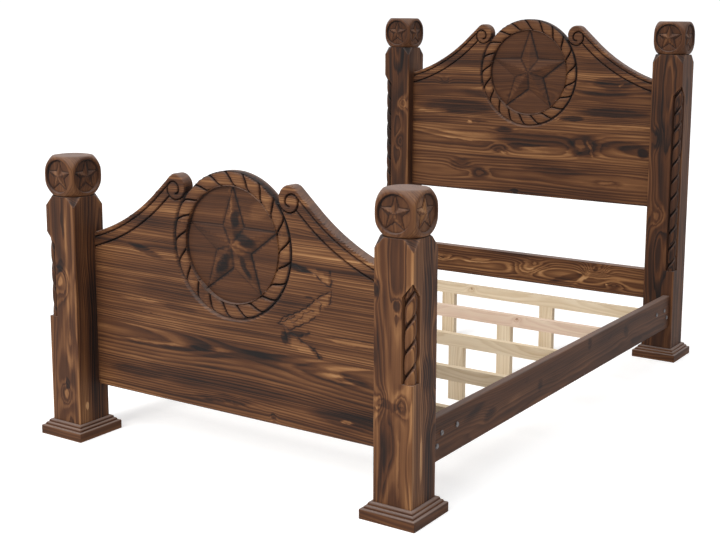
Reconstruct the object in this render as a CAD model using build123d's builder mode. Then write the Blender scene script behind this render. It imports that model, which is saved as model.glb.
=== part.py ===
from build123d import *

import os
from math import asin, cos, degrees, radians, sin, sqrt, tan

# Rustic pine bed for a full size mattress: four carved square posts with dice finials, a
# footboard and a headboard glued up from planks and carved with a star in a rope ring,
# hook-on side rails, ledgers, and slats on edge, most of them on their own short legs.
#
# Frame: millimetres, X across the bed, +Y from the foot to the head, +Z up, with the
# origin on the floor under the middle of the bed. The carved faces look towards -Y.

# --- Driving dimensions -----------------------------------------------------------------

# Mattress that the frame is made for, and the room left round it
mattress_width = 1372
mattress_length = 1905
side_clearance = 8
end_clearance = 22.5

# Posts
post_side = 133
foot_post_height = 837
head_post_height = 1301
facet_drop = 36
facet_reach = 70

# Rope carved down the outer corner of each post
rope_notch = 38
rope_radius = 26
rope_setback = 27
rope_point = 44
rope_bottom_foot = 419
rope_top_foot = 716
rope_bottom_head = 387
rope_top_head = 1174
twist_pitch = 72
twist_lean = 48
twist_width = 12
twist_depth = 8
twist_reach = 80

# Dice finials, each on a dowel
finial_side = 137
finial_ball_radius = 94.5
finial_disc_radius = 56
finial_disc_depth = 8
finial_star_radius = 54
dowel_diameter = 25
dowel_length = 100

# Mitred base moulding round the foot of each post
plinth_width = 29
plinth_height = 50
plinth_face_height = 27
plinth_face_round = 4
plinth_shelf = 6
plinth_quirk = 3
mitre_gap = 0.2

# Footboard and headboard
board_thickness = 42
footboard_bottom = 175
headboard_bottom = 649
headboard_setback = 44
footboard_medallion = 730
headboard_medallion = 1204
# Glue lines between the planks, up from the medallion's centre
footboard_seams = (-315, -130, 55)
headboard_seams = (-389, -249, -121, 45)
tenon_length = 30
tenon_thickness = 20
tenon_shoulder = 25
mortise_clearance = 0.5

# Crest: a sweep up from the post, a straight run, and a shoulder that ends in a scroll
scroll_x = 232
scroll_rise = 211
scroll_radius = 43
shoulder_radius = 36
shoulder_angle = 42.5
post_angle = 16
straight_run = 90
# Height above the medallion's centre to which the gap beside the ring is cut
scroll_gap_floor = 150
# Moulding on the crest: its two grooves, and how far out from the scroll they begin
upper_band = 17
lower_band = 47
moulding_start = 29
groove_width = 8
groove_depth = 6
# Spiral groove of the scroll: the radius of each quarter turn, as shares of the scroll's
spiral_turns = (1, 0.79, 0.58, 0.56, 0.35)

# Medallion: rope ring round a sunk disc with a faceted five-point star
ring_radius = 236
ring_inner_radius = 190
ring_flat = 8
ring_drop = 8
ring_groove_width = 9
disc_depth = 13
star_radius = 187
star_waist = 0.395
strand_count = 21
strand_lean = 38
strand_width = 9
strand_depth = 9

# Lower rail of the headboard
lower_rail_bottom = 247
lower_rail_height = 126

# Side rails
rail_thickness = 30
rail_height = 138
rail_bottom = 143
rail_inset = 14
rail_edge_round = 5

# Rail hooks, their pins and their bolts
hook_plate_thickness = 3
hook_plate_length = 165
hook_plate_height = 84
hook_plate_rise = 28
hook_reach = 17
hook_height = 26
hook_spacing = 46
hook_pin_setback = 10
hook_pin_diameter = 6
hook_pin_length = 44
hook_pin_clearance = 0.1
kerf_clearance = 0.5
kerf_depth = 21
kerf_drop_room = 14
bolt_diameter = 8
bolt_head_diameter = 17
bolt_head_height = 4
bolt_head_chamfer = 1.8
bolt_tail = 3
bolt_hole_clearance = 0.25
nut_width = 13
nut_height = 6.5
# Each bolt's place on a rail: from the rail's end, and up from its bottom edge
bolt_places = ((146, 84), (56, 84), (28, 50))

# Ledgers, slats and slat legs
ledger_width = 30
ledger_height = 38
slat_thickness = 25
slat_height = 48
slat_top = 257
slat_count = 5
slat_end_gap = 1
# Room between the rails' hooks and the ends of the ledgers, and the first and last slat
ledger_hook_gap = 5
slat_hook_gap = 21.5
slat_leg_width = 62
slat_leg_x = 245
# The slat next to the footboard hangs on its ledgers alone
first_slat_with_legs = 2

# Wood screws
screw_diameter = 4.5
screw_head_diameter = 9
screw_clearance = 0.1
slat_screw_length = 75
leg_screw_length = 95
leg_screw_spacing = 34
ledger_screw_length = 50

# --- Places worked out from them --------------------------------------------------------

rail_inner_x = mattress_width / 2 + side_clearance
rail_outer_x = rail_inner_x + rail_thickness
post_outer_x = rail_outer_x + rail_inset
post_inner_x = post_outer_x - post_side
post_x = post_outer_x - post_side / 2
post_face_y = mattress_length / 2 + end_clearance
post_y = post_face_y + post_side / 2
post_outer_y = post_face_y + post_side

# The boards' back faces, as distances in front of the XZ plane (towards -Y)
footboard_back = post_face_y
headboard_back = -(post_face_y + headboard_setback + board_thickness)

# Where the crest's straight run ends and its sweep begins; heights in the crest are
# taken from the medallion's centre
sweep_start_x = (
    scroll_x
    + shoulder_radius * sin(radians(shoulder_angle))
    + straight_run * cos(radians(shoulder_angle))
)
sweep_start_z = (
    scroll_rise
    - shoulder_radius * (1 - cos(radians(shoulder_angle)))
    - straight_run * sin(radians(shoulder_angle))
)
# The sweep's radius makes it meet the post at post_angle
sweep_radius = (post_inner_x - sweep_start_x) / (
    sin(radians(shoulder_angle)) - sin(radians(post_angle))
)
crest_at_post = sweep_start_z - sweep_radius * (
    cos(radians(post_angle)) - cos(radians(shoulder_angle))
)
scroll_z = scroll_rise - scroll_radius

slat_bottom = slat_top - slat_height
last_slat_y = post_face_y - hook_plate_length - slat_hook_gap - slat_thickness / 2
slat_pitch = 2 * last_slat_y / (slat_count - 1)
slat_ys = [(i - (slat_count - 1) / 2) * slat_pitch for i in range(slat_count)]
ledger_end_y = post_face_y - hook_plate_length - ledger_hook_gap
hook_plate_bottom = rail_bottom + hook_plate_rise
hook_plate_middle = hook_plate_bottom + hook_plate_height / 2
hook_zs = [hook_plate_middle - hook_spacing / 2, hook_plate_middle + hook_spacing / 2]

parts_folder = "parts"
os.makedirs(parts_folder, exist_ok=True)


# --- Saving -----------------------------------------------------------------------------


def save(piece, name):
    """Label a finished piece and write it as its own STEP file."""
    piece.label = name
    export_step(piece, f"{parts_folder}/{name}.step")


def save_pair(piece, name):
    """Save a right-hand piece and its mirror image on the left."""
    save(piece, f"{name}_right")
    save(mirror(piece, about=Plane.YZ), f"{name}_left")


# --- Shapes used by more than one piece --------------------------------------------------


def star_points(radius):
    """Corners of a five-point star with one point up, tips and waists in turn."""
    corners = []
    for i in range(10):
        reach = radius if i % 2 == 0 else radius * star_waist
        angle = radians(90 + 36 * i)
        corners.append((reach * cos(angle), reach * sin(angle)))
    return corners


def faceted_star(plane, radius, height):
    """Star with ridges that rise from its tips to a peak in the middle."""
    with BuildSketch(plane) as base:
        with BuildLine():
            Polyline(*star_points(radius), close=True)
        make_face()
    peak = plane.origin + plane.z_dir * height
    with BuildPart() as star:
        loft(sections=[base.sketch.face(), Vertex(*peak)], ruled=True)
    return star.part


def crest_slope(start, inset, medallion_z):
    """Right-hand crest from a point on its straight run to the post, moved inwards."""
    slope = radians(shoulder_angle)
    sweep_x = sweep_start_x - inset * sin(slope)
    sweep_z = medallion_z + sweep_start_z - inset * cos(slope)
    Line(start, (sweep_x, sweep_z))
    radius = sweep_radius + inset
    JernArc(
        start=(sweep_x, sweep_z),
        tangent=(cos(slope), -sin(slope)),
        radius=radius,
        arc_size=shoulder_angle - degrees(asin(sin(slope) - (post_inner_x - sweep_x) / radius)),
    )


def v_section(plane, width, depth):
    """Triangle that cuts a V groove: local x points into the wood."""
    proud = 1
    half_width = width / 2 * (1 + proud / depth)
    with BuildSketch(plane) as section:
        with BuildLine():
            Polyline((-proud, -half_width), (depth, 0), (-proud, half_width), close=True)
        make_face()
    return section.sketch


def groove_along(wire):
    """Section of a carved groove at the start of the line that it follows."""
    start = Plane(wire @ 0, x_dir=(0, 1, 0), z_dir=wire % 0)
    return v_section(start, groove_width, groove_depth)


def wood_screw(length):
    """Countersunk screw with its head flush with z = 0 and its shank along -Z."""
    head_height = (screw_head_diameter - screw_diameter) / 2
    with BuildPart() as screw:
        with BuildSketch(Plane.XZ):
            with BuildLine():
                Polyline(
                    (0, 0),
                    (screw_head_diameter / 2, 0),
                    (screw_diameter / 2, -head_height),
                    (screw_diameter / 2, -length + screw_diameter),
                    (0, -length),
                    close=True,
                )
            make_face()
        revolve(axis=Axis.Z)
    return screw.part


def screw_hole(length):
    """Hole that leaves screw_clearance all round a wood_screw of this length."""
    head_radius = screw_head_diameter / 2 + screw_clearance
    shank_radius = screw_diameter / 2 + screw_clearance
    with BuildPart() as hole:
        with BuildSketch(Plane.XZ):
            with BuildLine():
                Polyline(
                    (0, 0),
                    (head_radius, 0),
                    (shank_radius, shank_radius - head_radius),
                    (shank_radius, -length - screw_clearance),
                    (0, -length - screw_clearance),
                    close=True,
                )
            make_face()
        revolve(axis=Axis.Z)
    return hole.part


# --- Carved boards ------------------------------------------------------------------------


def crest_grooves(front, medallion_z):
    """V grooves of the right-hand crest moulding and of its scroll."""
    slope = radians(shoulder_angle)
    start_x = scroll_x + moulding_start
    with BuildPart() as grooves:
        # The two grooves of the moulding run up from the post and end against the scroll
        for inset in (upper_band, lower_band):
            back_run = sweep_start_x - inset * sin(slope) - start_x
            start_z = sweep_start_z - inset * cos(slope) + back_run * tan(slope)
            with BuildLine(Plane.XZ.offset(front)) as band:
                crest_slope((start_x, medallion_z + start_z), inset, medallion_z)
            sweep(sections=groove_along(band.wire()), path=band.wire())
        # The scroll's groove starts beside the ring and winds inwards, a quarter at a time
        with BuildLine(Plane.XZ.offset(front)) as spiral:
            start = (scroll_x - scroll_radius, medallion_z + scroll_z)
            tangent = (0, -1)
            for share in spiral_turns:
                turn = JernArc(start, tangent, share * scroll_radius, 90)
                start, tangent = turn @ 1, turn % 1
        sweep(sections=groove_along(spiral.wire()), path=spiral.wire())
    return grooves.part


def carved_board(back, bottom, medallion_z):
    """One carved board in a single piece, before it is parted into its planks."""
    front = back + board_thickness
    front_y = -front
    crown = (ring_radius + ring_inner_radius) / 2
    grooves = crest_grooves(front, medallion_z)
    star = faceted_star(
        Plane(origin=(0, front_y + disc_depth, medallion_z), x_dir=(1, 0, 0), z_dir=(0, -1, 0)),
        star_radius,
        disc_depth,
    )
    strand_sections = []
    for i in range(strand_count):
        angle = 360 / strand_count * i
        lean = angle + strand_lean
        cut = Plane(
            origin=(
                crown * cos(radians(angle)),
                front_y,
                medallion_z + crown * sin(radians(angle)),
            ),
            x_dir=(0, 1, 0),
            z_dir=(cos(radians(lean)), 0, sin(radians(lean))),
        )
        strand_sections.append(v_section(cut, strand_width, strand_depth).face())
    with BuildPart() as board:
        with BuildSketch(Plane.XZ.offset(back)):
            with BuildLine():
                shoulder = JernArc(
                    start=(scroll_x, medallion_z + scroll_rise),
                    tangent=(1, 0),
                    radius=shoulder_radius,
                    arc_size=-shoulder_angle,
                )
                crest_slope(shoulder @ 1, 0, medallion_z)
                Polyline(
                    (post_inner_x, medallion_z + crest_at_post),
                    (post_inner_x, bottom),
                    (0, bottom),
                    (0, medallion_z + scroll_rise),
                    (scroll_x, medallion_z + scroll_rise),
                )
            make_face()
            mirror(about=Plane.YZ)
            # The crest dips between each scroll and the ring
            with BuildLine():
                Polyline(
                    (-scroll_x, medallion_z + scroll_gap_floor),
                    (scroll_x, medallion_z + scroll_gap_floor),
                    (scroll_x, medallion_z + scroll_rise + scroll_radius),
                    (-scroll_x, medallion_z + scroll_rise + scroll_radius),
                    close=True,
                )
            make_face(mode=Mode.SUBTRACT)
            with Locations(
                (-scroll_x, medallion_z + scroll_z), (scroll_x, medallion_z + scroll_z)
            ):
                Circle(scroll_radius)
            with Locations((0, medallion_z)):
                Circle(ring_radius)
        extrude(amount=board_thickness)

        # Tenon along each end
        tenon_bottom = bottom + tenon_shoulder
        tenon_top = medallion_z + crest_at_post - tenon_shoulder
        with BuildSketch(Plane.XZ.offset(back + (board_thickness - tenon_thickness) / 2)):
            with Locations((0, (tenon_bottom + tenon_top) / 2)):
                Rectangle(2 * (post_inner_x + tenon_length), tenon_top - tenon_bottom)
        extrude(amount=tenon_thickness)

        # Sunk disc, with the inner half of the rope's round
        with BuildSketch(Plane.XY.offset(medallion_z)):
            with BuildLine():
                inner_round = TangentArc(
                    (crown - ring_flat / 2, front_y),
                    (ring_inner_radius, front_y + ring_drop),
                    tangent=(-1, 0),
                )
                Polyline(
                    inner_round @ 1,
                    (ring_inner_radius, front_y + disc_depth),
                    (0, front_y + disc_depth),
                    (0, front_y - 1),
                    (crown - ring_flat / 2, front_y - 1),
                    inner_round @ 0,
                )
            make_face()
        revolve(axis=Axis((0, 0, medallion_z), (0, 1, 0)), mode=Mode.SUBTRACT)

        # Groove outside the rope, with the outer half of its round
        with BuildSketch(Plane.XY.offset(medallion_z)):
            with BuildLine():
                outer_round = TangentArc(
                    (crown + ring_flat / 2, front_y),
                    (ring_radius, front_y + ring_drop),
                    tangent=(1, 0),
                )
                Polyline(
                    outer_round @ 1,
                    (ring_radius + ring_groove_width, front_y),
                    (ring_radius + ring_groove_width, front_y - 1),
                    (crown + ring_flat / 2, front_y - 1),
                    outer_round @ 0,
                )
            make_face()
        revolve(axis=Axis((0, 0, medallion_z), (0, 1, 0)), mode=Mode.SUBTRACT)

        # Cuts that part the rope's strands, leaning round the ring
        half_cut = (ring_radius - ring_inner_radius) / 2 / cos(radians(strand_lean))
        extrude(strand_sections, amount=half_cut, both=True, mode=Mode.SUBTRACT)

        add(grooves, mode=Mode.SUBTRACT)
        mirror(grooves, about=Plane.YZ, mode=Mode.SUBTRACT)
        add(star)
    return board.part


def save_planks(board, medallion_z, seams, name):
    """Part a carved board at its glue lines and save the planks, lowest first."""
    for i in range(len(seams) + 1):
        with BuildPart() as plank:
            add(board)
            if i > 0:
                split(bisect_by=Plane.XY.offset(medallion_z + seams[i - 1]), keep=Keep.TOP)
            if i < len(seams):
                split(bisect_by=Plane.XY.offset(medallion_z + seams[i]), keep=Keep.BOTTOM)
        save(plank.part, f"{name}_plank_{i + 1}")


footboard = carved_board(footboard_back, footboard_bottom, footboard_medallion)
headboard = carved_board(headboard_back, headboard_bottom, headboard_medallion)
save_planks(footboard, footboard_medallion, footboard_seams, "footboard")
save_planks(headboard, headboard_medallion, headboard_seams, "headboard")

with BuildPart() as lower_rail:
    lower_rail_middle = lower_rail_bottom + lower_rail_height / 2
    with BuildSketch(Plane.XZ.offset(headboard_back)):
        with Locations((0, lower_rail_middle)):
            Rectangle(2 * post_inner_x, lower_rail_height)
    extrude(amount=board_thickness)
    with BuildSketch(Plane.XZ.offset(headboard_back + (board_thickness - tenon_thickness) / 2)):
        with Locations((0, lower_rail_middle)):
            Rectangle(2 * (post_inner_x + tenon_length), lower_rail_height - 2 * tenon_shoulder)
    extrude(amount=tenon_thickness)
save(lower_rail.part, "headboard_lower_rail")


# --- Posts --------------------------------------------------------------------------------


def carved_post(y, height, rope_bottom, rope_top, mortises):
    """Right-hand post at the foot (y < 0) or at the head (y > 0) of the bed."""
    inward = -1 if y > 0 else 1
    corner_y = y - post_side / 2
    rope_x = post_outer_x - rope_setback
    rope_y = corner_y + rope_setback
    with BuildPart() as post:
        with BuildSketch(Plane.XY):
            with Locations((post_x, y)):
                Rectangle(post_side, post_side)
        extrude(amount=height)

        # Facets that trim the four top corners
        facet_slope = (post_side / sqrt(2) - facet_reach) / facet_drop
        for turn in range(45, 360, 90):
            outwards = Vector(cos(radians(turn)), sin(radians(turn)), 0)
            sideways = Vector(sin(radians(turn)), -cos(radians(turn)), 0)
            edge = Vector(post_x, y, height) + outwards * facet_reach
            with BuildSketch(Plane(origin=edge, x_dir=outwards, z_dir=sideways)):
                with BuildLine():
                    # Local x runs outwards and local y up
                    Polyline(
                        (0, 0),
                        (facet_slope * 2 * facet_drop, -2 * facet_drop),
                        (facet_slope * 2 * facet_drop, 1),
                        (0, 1),
                        close=True,
                    )
                make_face()
            extrude(amount=post_side, both=True, mode=Mode.SUBTRACT)

        # Notch down the outer corner, flat at the bottom and pointed at the top
        with BuildSketch(Plane.XY.offset(rope_bottom)):
            with Locations((post_outer_x - rope_notch / 2, corner_y + rope_notch / 2)):
                Rectangle(rope_notch, rope_notch)
        extrude(amount=rope_top - rope_point - rope_bottom, mode=Mode.SUBTRACT)
        with BuildSketch(Plane.XY.offset(rope_top - rope_point)) as notch_top:
            with Locations((post_outer_x - rope_notch / 2, corner_y + rope_notch / 2)):
                Rectangle(rope_notch, rope_notch)
        loft(
            sections=[notch_top.sketch.face(), Vertex(post_outer_x, corner_y, rope_top)],
            ruled=True,
            mode=Mode.SUBTRACT,
        )
    post_body = post.part

    # Grooves that part the rope's strands: each follows the ellipse in which a leaning
    # plane cuts the rope
    lean = radians(twist_lean)
    corner = Vector(sqrt(0.5), -sqrt(0.5), 0)
    normal = Vector(-sqrt(0.5) * sin(lean), -sqrt(0.5) * sin(lean), cos(lean))
    twists = []
    for i in range(round((rope_top - rope_bottom) / twist_pitch)):
        middle = (rope_x, rope_y, rope_bottom + twist_pitch * (i + 0.6))
        with BuildLine(Plane(origin=middle, x_dir=corner, z_dir=normal)) as strand:
            EllipticalCenterArc(
                (0, 0),
                rope_radius,
                rope_radius / cos(lean),
                -twist_reach,
                arc_size=2 * twist_reach,
            )
        path = strand.wire()
        inwards = Vector(rope_x, rope_y, (path @ 0).Z) - path @ 0
        with BuildPart() as twist:
            section = Plane(path @ 0, x_dir=inwards, z_dir=path % 0)
            sweep(sections=v_section(section, twist_width, twist_depth), path=path)
        twists.append(twist.part)

    with BuildPart() as rope:
        with BuildSketch(Plane.XY.offset(rope_bottom)):
            with Locations((rope_x, rope_y)):
                Circle(rope_radius)
        extrude(amount=rope_top - rope_bottom)
        add(twists, mode=Mode.SUBTRACT)

    with BuildPart() as finished:
        add(post_body)
        add(rope.part)
        mortise_depth = tenon_length + mortise_clearance
        for back, low, high in mortises:
            with BuildSketch(Plane.XZ.offset(back + (board_thickness - tenon_thickness) / 2)):
                with Locations((post_inner_x + mortise_depth / 2, (low + high) / 2)):
                    Rectangle(mortise_depth, high - low)
            extrude(amount=tenon_thickness, mode=Mode.SUBTRACT)

        # Hole for the finial's dowel
        with BuildSketch(Plane.XY.offset(height)):
            with Locations((post_x, y)):
                Circle(dowel_diameter / 2)
        extrude(amount=-dowel_length / 2, mode=Mode.SUBTRACT)

        # Kerf for the rail's hooks, and the holes of the pins that they drop over
        kerf_bottom = hook_zs[0] - hook_height / 2 - kerf_clearance
        kerf_top = hook_zs[1] + hook_height / 2 + kerf_drop_room
        face_y = y + inward * post_side / 2
        with BuildSketch(Plane.YZ.offset(rail_inner_x - hook_plate_thickness - kerf_clearance)):
            with Locations((face_y - inward * kerf_depth / 2, (kerf_bottom + kerf_top) / 2)):
                Rectangle(kerf_depth, kerf_top - kerf_bottom)
        extrude(amount=hook_plate_thickness + 2 * kerf_clearance, mode=Mode.SUBTRACT)
        with BuildSketch(Plane.YZ.offset(rail_inner_x - hook_pin_length / 2)):
            with Locations(*[(face_y - inward * hook_pin_setback, z) for z in hook_zs]):
                Circle(hook_pin_diameter / 2)
        extrude(amount=hook_pin_length, mode=Mode.SUBTRACT)
    return finished.part


foot_mortises = [
    (
        footboard_back,
        footboard_bottom + tenon_shoulder,
        footboard_medallion + crest_at_post - tenon_shoulder,
    )
]
head_mortises = [
    (
        headboard_back,
        headboard_bottom + tenon_shoulder,
        headboard_medallion + crest_at_post - tenon_shoulder,
    ),
    (
        headboard_back,
        lower_rail_bottom + tenon_shoulder,
        lower_rail_bottom + lower_rail_height - tenon_shoulder,
    ),
]
foot_post = carved_post(
    -post_y, foot_post_height, rope_bottom_foot, rope_top_foot, foot_mortises
)
head_post = carved_post(
    post_y, head_post_height, rope_bottom_head, rope_top_head, head_mortises
)
save_pair(foot_post, "foot_post")
save_pair(head_post, "head_post")


# --- Finials and their dowels ---------------------------------------------------------------


def dice_finial(y, base):
    """Cube rounded by a ball, with a star in a sunk disc on each of its four sides."""
    middle = base + finial_side / 2
    sides = []
    for turn in range(0, 360, 90):
        outwards = Vector(cos(radians(turn)), sin(radians(turn)), 0)
        floor = Vector(post_x, y, middle) + outwards * (finial_side / 2 - finial_disc_depth)
        sides.append(Plane(origin=floor, x_dir=Vector(0, 0, 1).cross(outwards), z_dir=outwards))
    stars = [faceted_star(side, finial_star_radius, finial_disc_depth) for side in sides]
    with BuildPart() as finial:
        with BuildSketch(Plane.XY.offset(base)):
            with Locations((post_x, y)):
                Rectangle(finial_side, finial_side)
        extrude(amount=finial_side)
        with Locations((post_x, y, middle)):
            Sphere(finial_ball_radius, mode=Mode.INTERSECT)
        for side in sides:
            with BuildSketch(side):
                Circle(finial_disc_radius)
            extrude(amount=finial_disc_depth + 1, mode=Mode.SUBTRACT)
        add(stars)
        with BuildSketch(Plane.XY.offset(base)):
            with Locations((post_x, y)):
                Circle(dowel_diameter / 2)
        extrude(amount=dowel_length / 2, mode=Mode.SUBTRACT)
    return finial.part


save_pair(dice_finial(-post_y, foot_post_height), "foot_finial")
save_pair(dice_finial(post_y, head_post_height), "head_finial")

with BuildPart() as finial_dowels:
    for y, top in ((-post_y, foot_post_height), (post_y, head_post_height)):
        with BuildSketch(Plane.XY.offset(top - dowel_length / 2)):
            with Locations((-post_x, y), (post_x, y)):
                Circle(dowel_diameter / 2)
        extrude(amount=dowel_length)
save(finial_dowels.part, "finial_dowels")


# --- Base mouldings ---------------------------------------------------------------------------


def plinth_strip():
    """Front strip of a plinth round a post at the origin, mitred at both ends."""
    inner = post_side / 2
    outer = inner + plinth_width
    shelf_z = plinth_face_height + plinth_face_round
    step_x = outer - plinth_face_round - plinth_shelf
    half_rise = (plinth_height - shelf_z - 2 * plinth_quirk) / 2
    half_run = (step_x - inner - plinth_quirk) / 2
    with BuildPart() as strip:
        # Local x runs out from the post's middle towards -Y and local y up
        with BuildSketch(Plane(origin=(0, 0, 0), x_dir=(0, -1, 0), z_dir=(-1, 0, 0))):
            with BuildLine():
                Polyline((inner, 0), (outer, 0), (outer, plinth_face_height))
                edge = JernArc((outer, plinth_face_height), (0, 1), plinth_face_round, 90)
                Polyline(edge @ 1, (step_x, shelf_z), (step_x, shelf_z + plinth_quirk))
                lower = TangentArc(
                    (step_x, shelf_z + plinth_quirk),
                    (step_x - half_run, shelf_z + plinth_quirk + half_rise),
                    tangent=(0, 1),
                )
                upper_foot = lower @ 1 + Vector(0, plinth_quirk)
                Line(lower @ 1, upper_foot)
                upper = TangentArc(
                    upper_foot, (inner + plinth_quirk, plinth_height), tangent=(0, 1)
                )
                Polyline(upper @ 1, (inner, plinth_height), (inner, 0))
            make_face()
        extrude(amount=outer, both=True)
        with BuildSketch(Plane.XY):
            with BuildLine():
                Polyline(
                    (0, -mitre_gap),
                    (mitre_gap - outer, -outer),
                    (outer - mitre_gap, -outer),
                    close=True,
                )
            make_face()
        extrude(amount=plinth_height, mode=Mode.INTERSECT)
    return strip.part


base_strip = plinth_strip()
for name, y in (("foot_plinth", -post_y), ("head_plinth", post_y)):
    with BuildPart() as plinth:
        with Locations((post_x, y)):
            with PolarLocations(0, 4):
                add(base_strip)
    save_pair(plinth.part, name)


# --- Side rails with their hooks, pins, bolts and nuts ------------------------------------------


def bolt_centres():
    """Bolt centres on a rail's side, as (y, z), at the foot end and at the head end."""
    centres = []
    for from_end, rise in bolt_places:
        centres.append((-post_face_y + from_end, rail_bottom + rise))
        centres.append((post_face_y - from_end, rail_bottom + rise))
    return centres


with BuildPart() as side_rail:
    with BuildSketch(Plane.XZ.offset(-post_face_y)):
        with Locations((rail_inner_x + rail_thickness / 2, rail_bottom + rail_height / 2)):
            RectangleRounded(rail_thickness, rail_height, rail_edge_round)
    extrude(amount=2 * post_face_y)
    with BuildSketch(Plane.YZ.offset(rail_inner_x)):
        with Locations(*bolt_centres()):
            Circle(bolt_diameter / 2 + bolt_hole_clearance)
    extrude(amount=rail_thickness, mode=Mode.SUBTRACT)
    for y in [(a + b) / 2 for a, b in zip(slat_ys, slat_ys[1:])]:
        with Locations(
            Location((rail_inner_x - ledger_width, y, slat_bottom - ledger_height / 2), (0, -90, 0))
        ):
            add(screw_hole(ledger_screw_length), mode=Mode.SUBTRACT)
save_pair(side_rail.part, "side_rail")


def hook_plate(inward):
    """Right-hand rail hook: inward is 1 at the foot end and -1 at the head end."""
    end_y = -inward * post_face_y
    slot_radius = hook_pin_diameter / 2 + hook_pin_clearance
    with BuildPart() as plate:
        with BuildSketch(Plane.YZ.offset(rail_inner_x - hook_plate_thickness)):
            with Locations((end_y + inward * hook_plate_length / 2, hook_plate_middle)):
                Rectangle(hook_plate_length, hook_plate_height)
            for z in hook_zs:
                with Locations((end_y - inward * hook_reach / 2, z)):
                    Rectangle(hook_reach, hook_height)
            for z in hook_zs:
                pin_y = end_y - inward * hook_pin_setback
                with Locations((pin_y, z)):
                    Circle(slot_radius, mode=Mode.SUBTRACT)
                with Locations((pin_y, z - hook_height / 4)):
                    Rectangle(2 * slot_radius, hook_height / 2, mode=Mode.SUBTRACT)
            with Locations(*bolt_centres()):
                Circle(bolt_diameter / 2 + bolt_hole_clearance, mode=Mode.SUBTRACT)
        extrude(amount=hook_plate_thickness)
    return plate.part


save_pair(hook_plate(1), "foot_rail_hook")
save_pair(hook_plate(-1), "head_rail_hook")

with BuildPart() as right_pins:
    with BuildSketch(Plane.YZ.offset(rail_inner_x - hook_pin_length / 2)):
        pin_y = post_face_y + hook_pin_setback
        with Locations(*[(y, z) for y in (-pin_y, pin_y) for z in hook_zs]):
            Circle(hook_pin_diameter / 2)
    extrude(amount=hook_pin_length)
with BuildPart() as hook_pins:
    add(right_pins.part)
    mirror(right_pins.part, about=Plane.YZ)
save(hook_pins.part, "hook_pins")

with BuildPart() as right_bolts:
    bolt_end_x = rail_inner_x - hook_plate_thickness - nut_height - bolt_tail
    with BuildSketch(Plane.YZ.offset(bolt_end_x)):
        with Locations(*bolt_centres()):
            Circle(bolt_diameter / 2)
    extrude(amount=rail_outer_x - bolt_end_x)
    with BuildSketch(Plane.YZ.offset(rail_outer_x)):
        with Locations(*bolt_centres()):
            Circle(bolt_head_diameter / 2)
    extrude(amount=bolt_head_height)
    chamfer(right_bolts.edges().group_by(Axis.X)[-1], length=bolt_head_chamfer)
with BuildPart() as rail_bolts:
    add(right_bolts.part)
    mirror(right_bolts.part, about=Plane.YZ)
save(rail_bolts.part, "rail_bolts")

with BuildPart() as right_nuts:
    with BuildSketch(Plane.YZ.offset(rail_inner_x - hook_plate_thickness - nut_height)):
        with Locations(*bolt_centres()):
            RegularPolygon(nut_width / 2, 6, major_radius=False)
            Circle(bolt_diameter / 2 + bolt_hole_clearance, mode=Mode.SUBTRACT)
    extrude(amount=nut_height)
with BuildPart() as rail_nuts:
    add(right_nuts.part)
    mirror(right_nuts.part, about=Plane.YZ)
save(rail_nuts.part, "rail_nuts")


# --- Ledgers, slats, slat legs and their screws -----------------------------------------------------

slat_half_length = rail_inner_x - slat_end_gap
slat_screw_x = rail_inner_x - ledger_width / 2
leg_screw_xs = (slat_leg_x - leg_screw_spacing / 2, slat_leg_x + leg_screw_spacing / 2)
ledger_screw_ys = [(a + b) / 2 for a, b in zip(slat_ys, slat_ys[1:])]

slat_screw = wood_screw(slat_screw_length)
slat_screw_hole = screw_hole(slat_screw_length)
leg_screw = wood_screw(leg_screw_length)
leg_screw_hole = screw_hole(leg_screw_length)
ledger_screw = wood_screw(ledger_screw_length)
ledger_screw_hole = screw_hole(ledger_screw_length)

with BuildPart() as ledger:
    with BuildSketch(Plane.XZ.offset(-ledger_end_y)):
        with Locations((rail_inner_x - ledger_width / 2, slat_bottom - ledger_height / 2)):
            Rectangle(ledger_width, ledger_height)
    extrude(amount=2 * ledger_end_y)
    with Locations(*[(slat_screw_x, y, slat_top) for y in slat_ys]):
        add(slat_screw_hole, mode=Mode.SUBTRACT)
    for y in ledger_screw_ys:
        with Locations(
            Location((rail_inner_x - ledger_width, y, slat_bottom - ledger_height / 2), (0, -90, 0))
        ):
            add(ledger_screw_hole, mode=Mode.SUBTRACT)
save_pair(ledger.part, "slat_ledger")

for i, y in enumerate(slat_ys):
    with BuildPart() as slat:
        with BuildSketch(Plane.XY.offset(slat_bottom)):
            with Locations((0, y)):
                Rectangle(2 * slat_half_length, slat_thickness)
        extrude(amount=slat_height)
        with Locations(*[(side * slat_screw_x, y, slat_top) for side in (-1, 1)]):
            add(slat_screw_hole, mode=Mode.SUBTRACT)
        if i + 1 >= first_slat_with_legs:
            with Locations(*[(side * x, y, slat_top) for side in (-1, 1) for x in leg_screw_xs]):
                add(leg_screw_hole, mode=Mode.SUBTRACT)
    save(slat.part, f"slat_{i + 1}")

for i, y in enumerate(slat_ys):
    if i + 1 < first_slat_with_legs:
        continue
    with BuildPart() as slat_leg:
        with BuildSketch(Plane.XY):
            with Locations((slat_leg_x, y)):
                Rectangle(slat_leg_width, slat_thickness)
        extrude(amount=slat_bottom)
        with Locations(*[(x, y, slat_top) for x in leg_screw_xs]):
            add(leg_screw_hole, mode=Mode.SUBTRACT)
    save_pair(slat_leg.part, f"slat_leg_{i + 1}")

with BuildPart() as slat_screws:
    for i, y in enumerate(slat_ys):
        with Locations(*[(side * slat_screw_x, y, slat_top) for side in (-1, 1)]):
            add(slat_screw)
        if i + 1 >= first_slat_with_legs:
            with Locations(*[(side * x, y, slat_top) for side in (-1, 1) for x in leg_screw_xs]):
                add(leg_screw)
save(slat_screws.part, "slat_screws")

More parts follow.
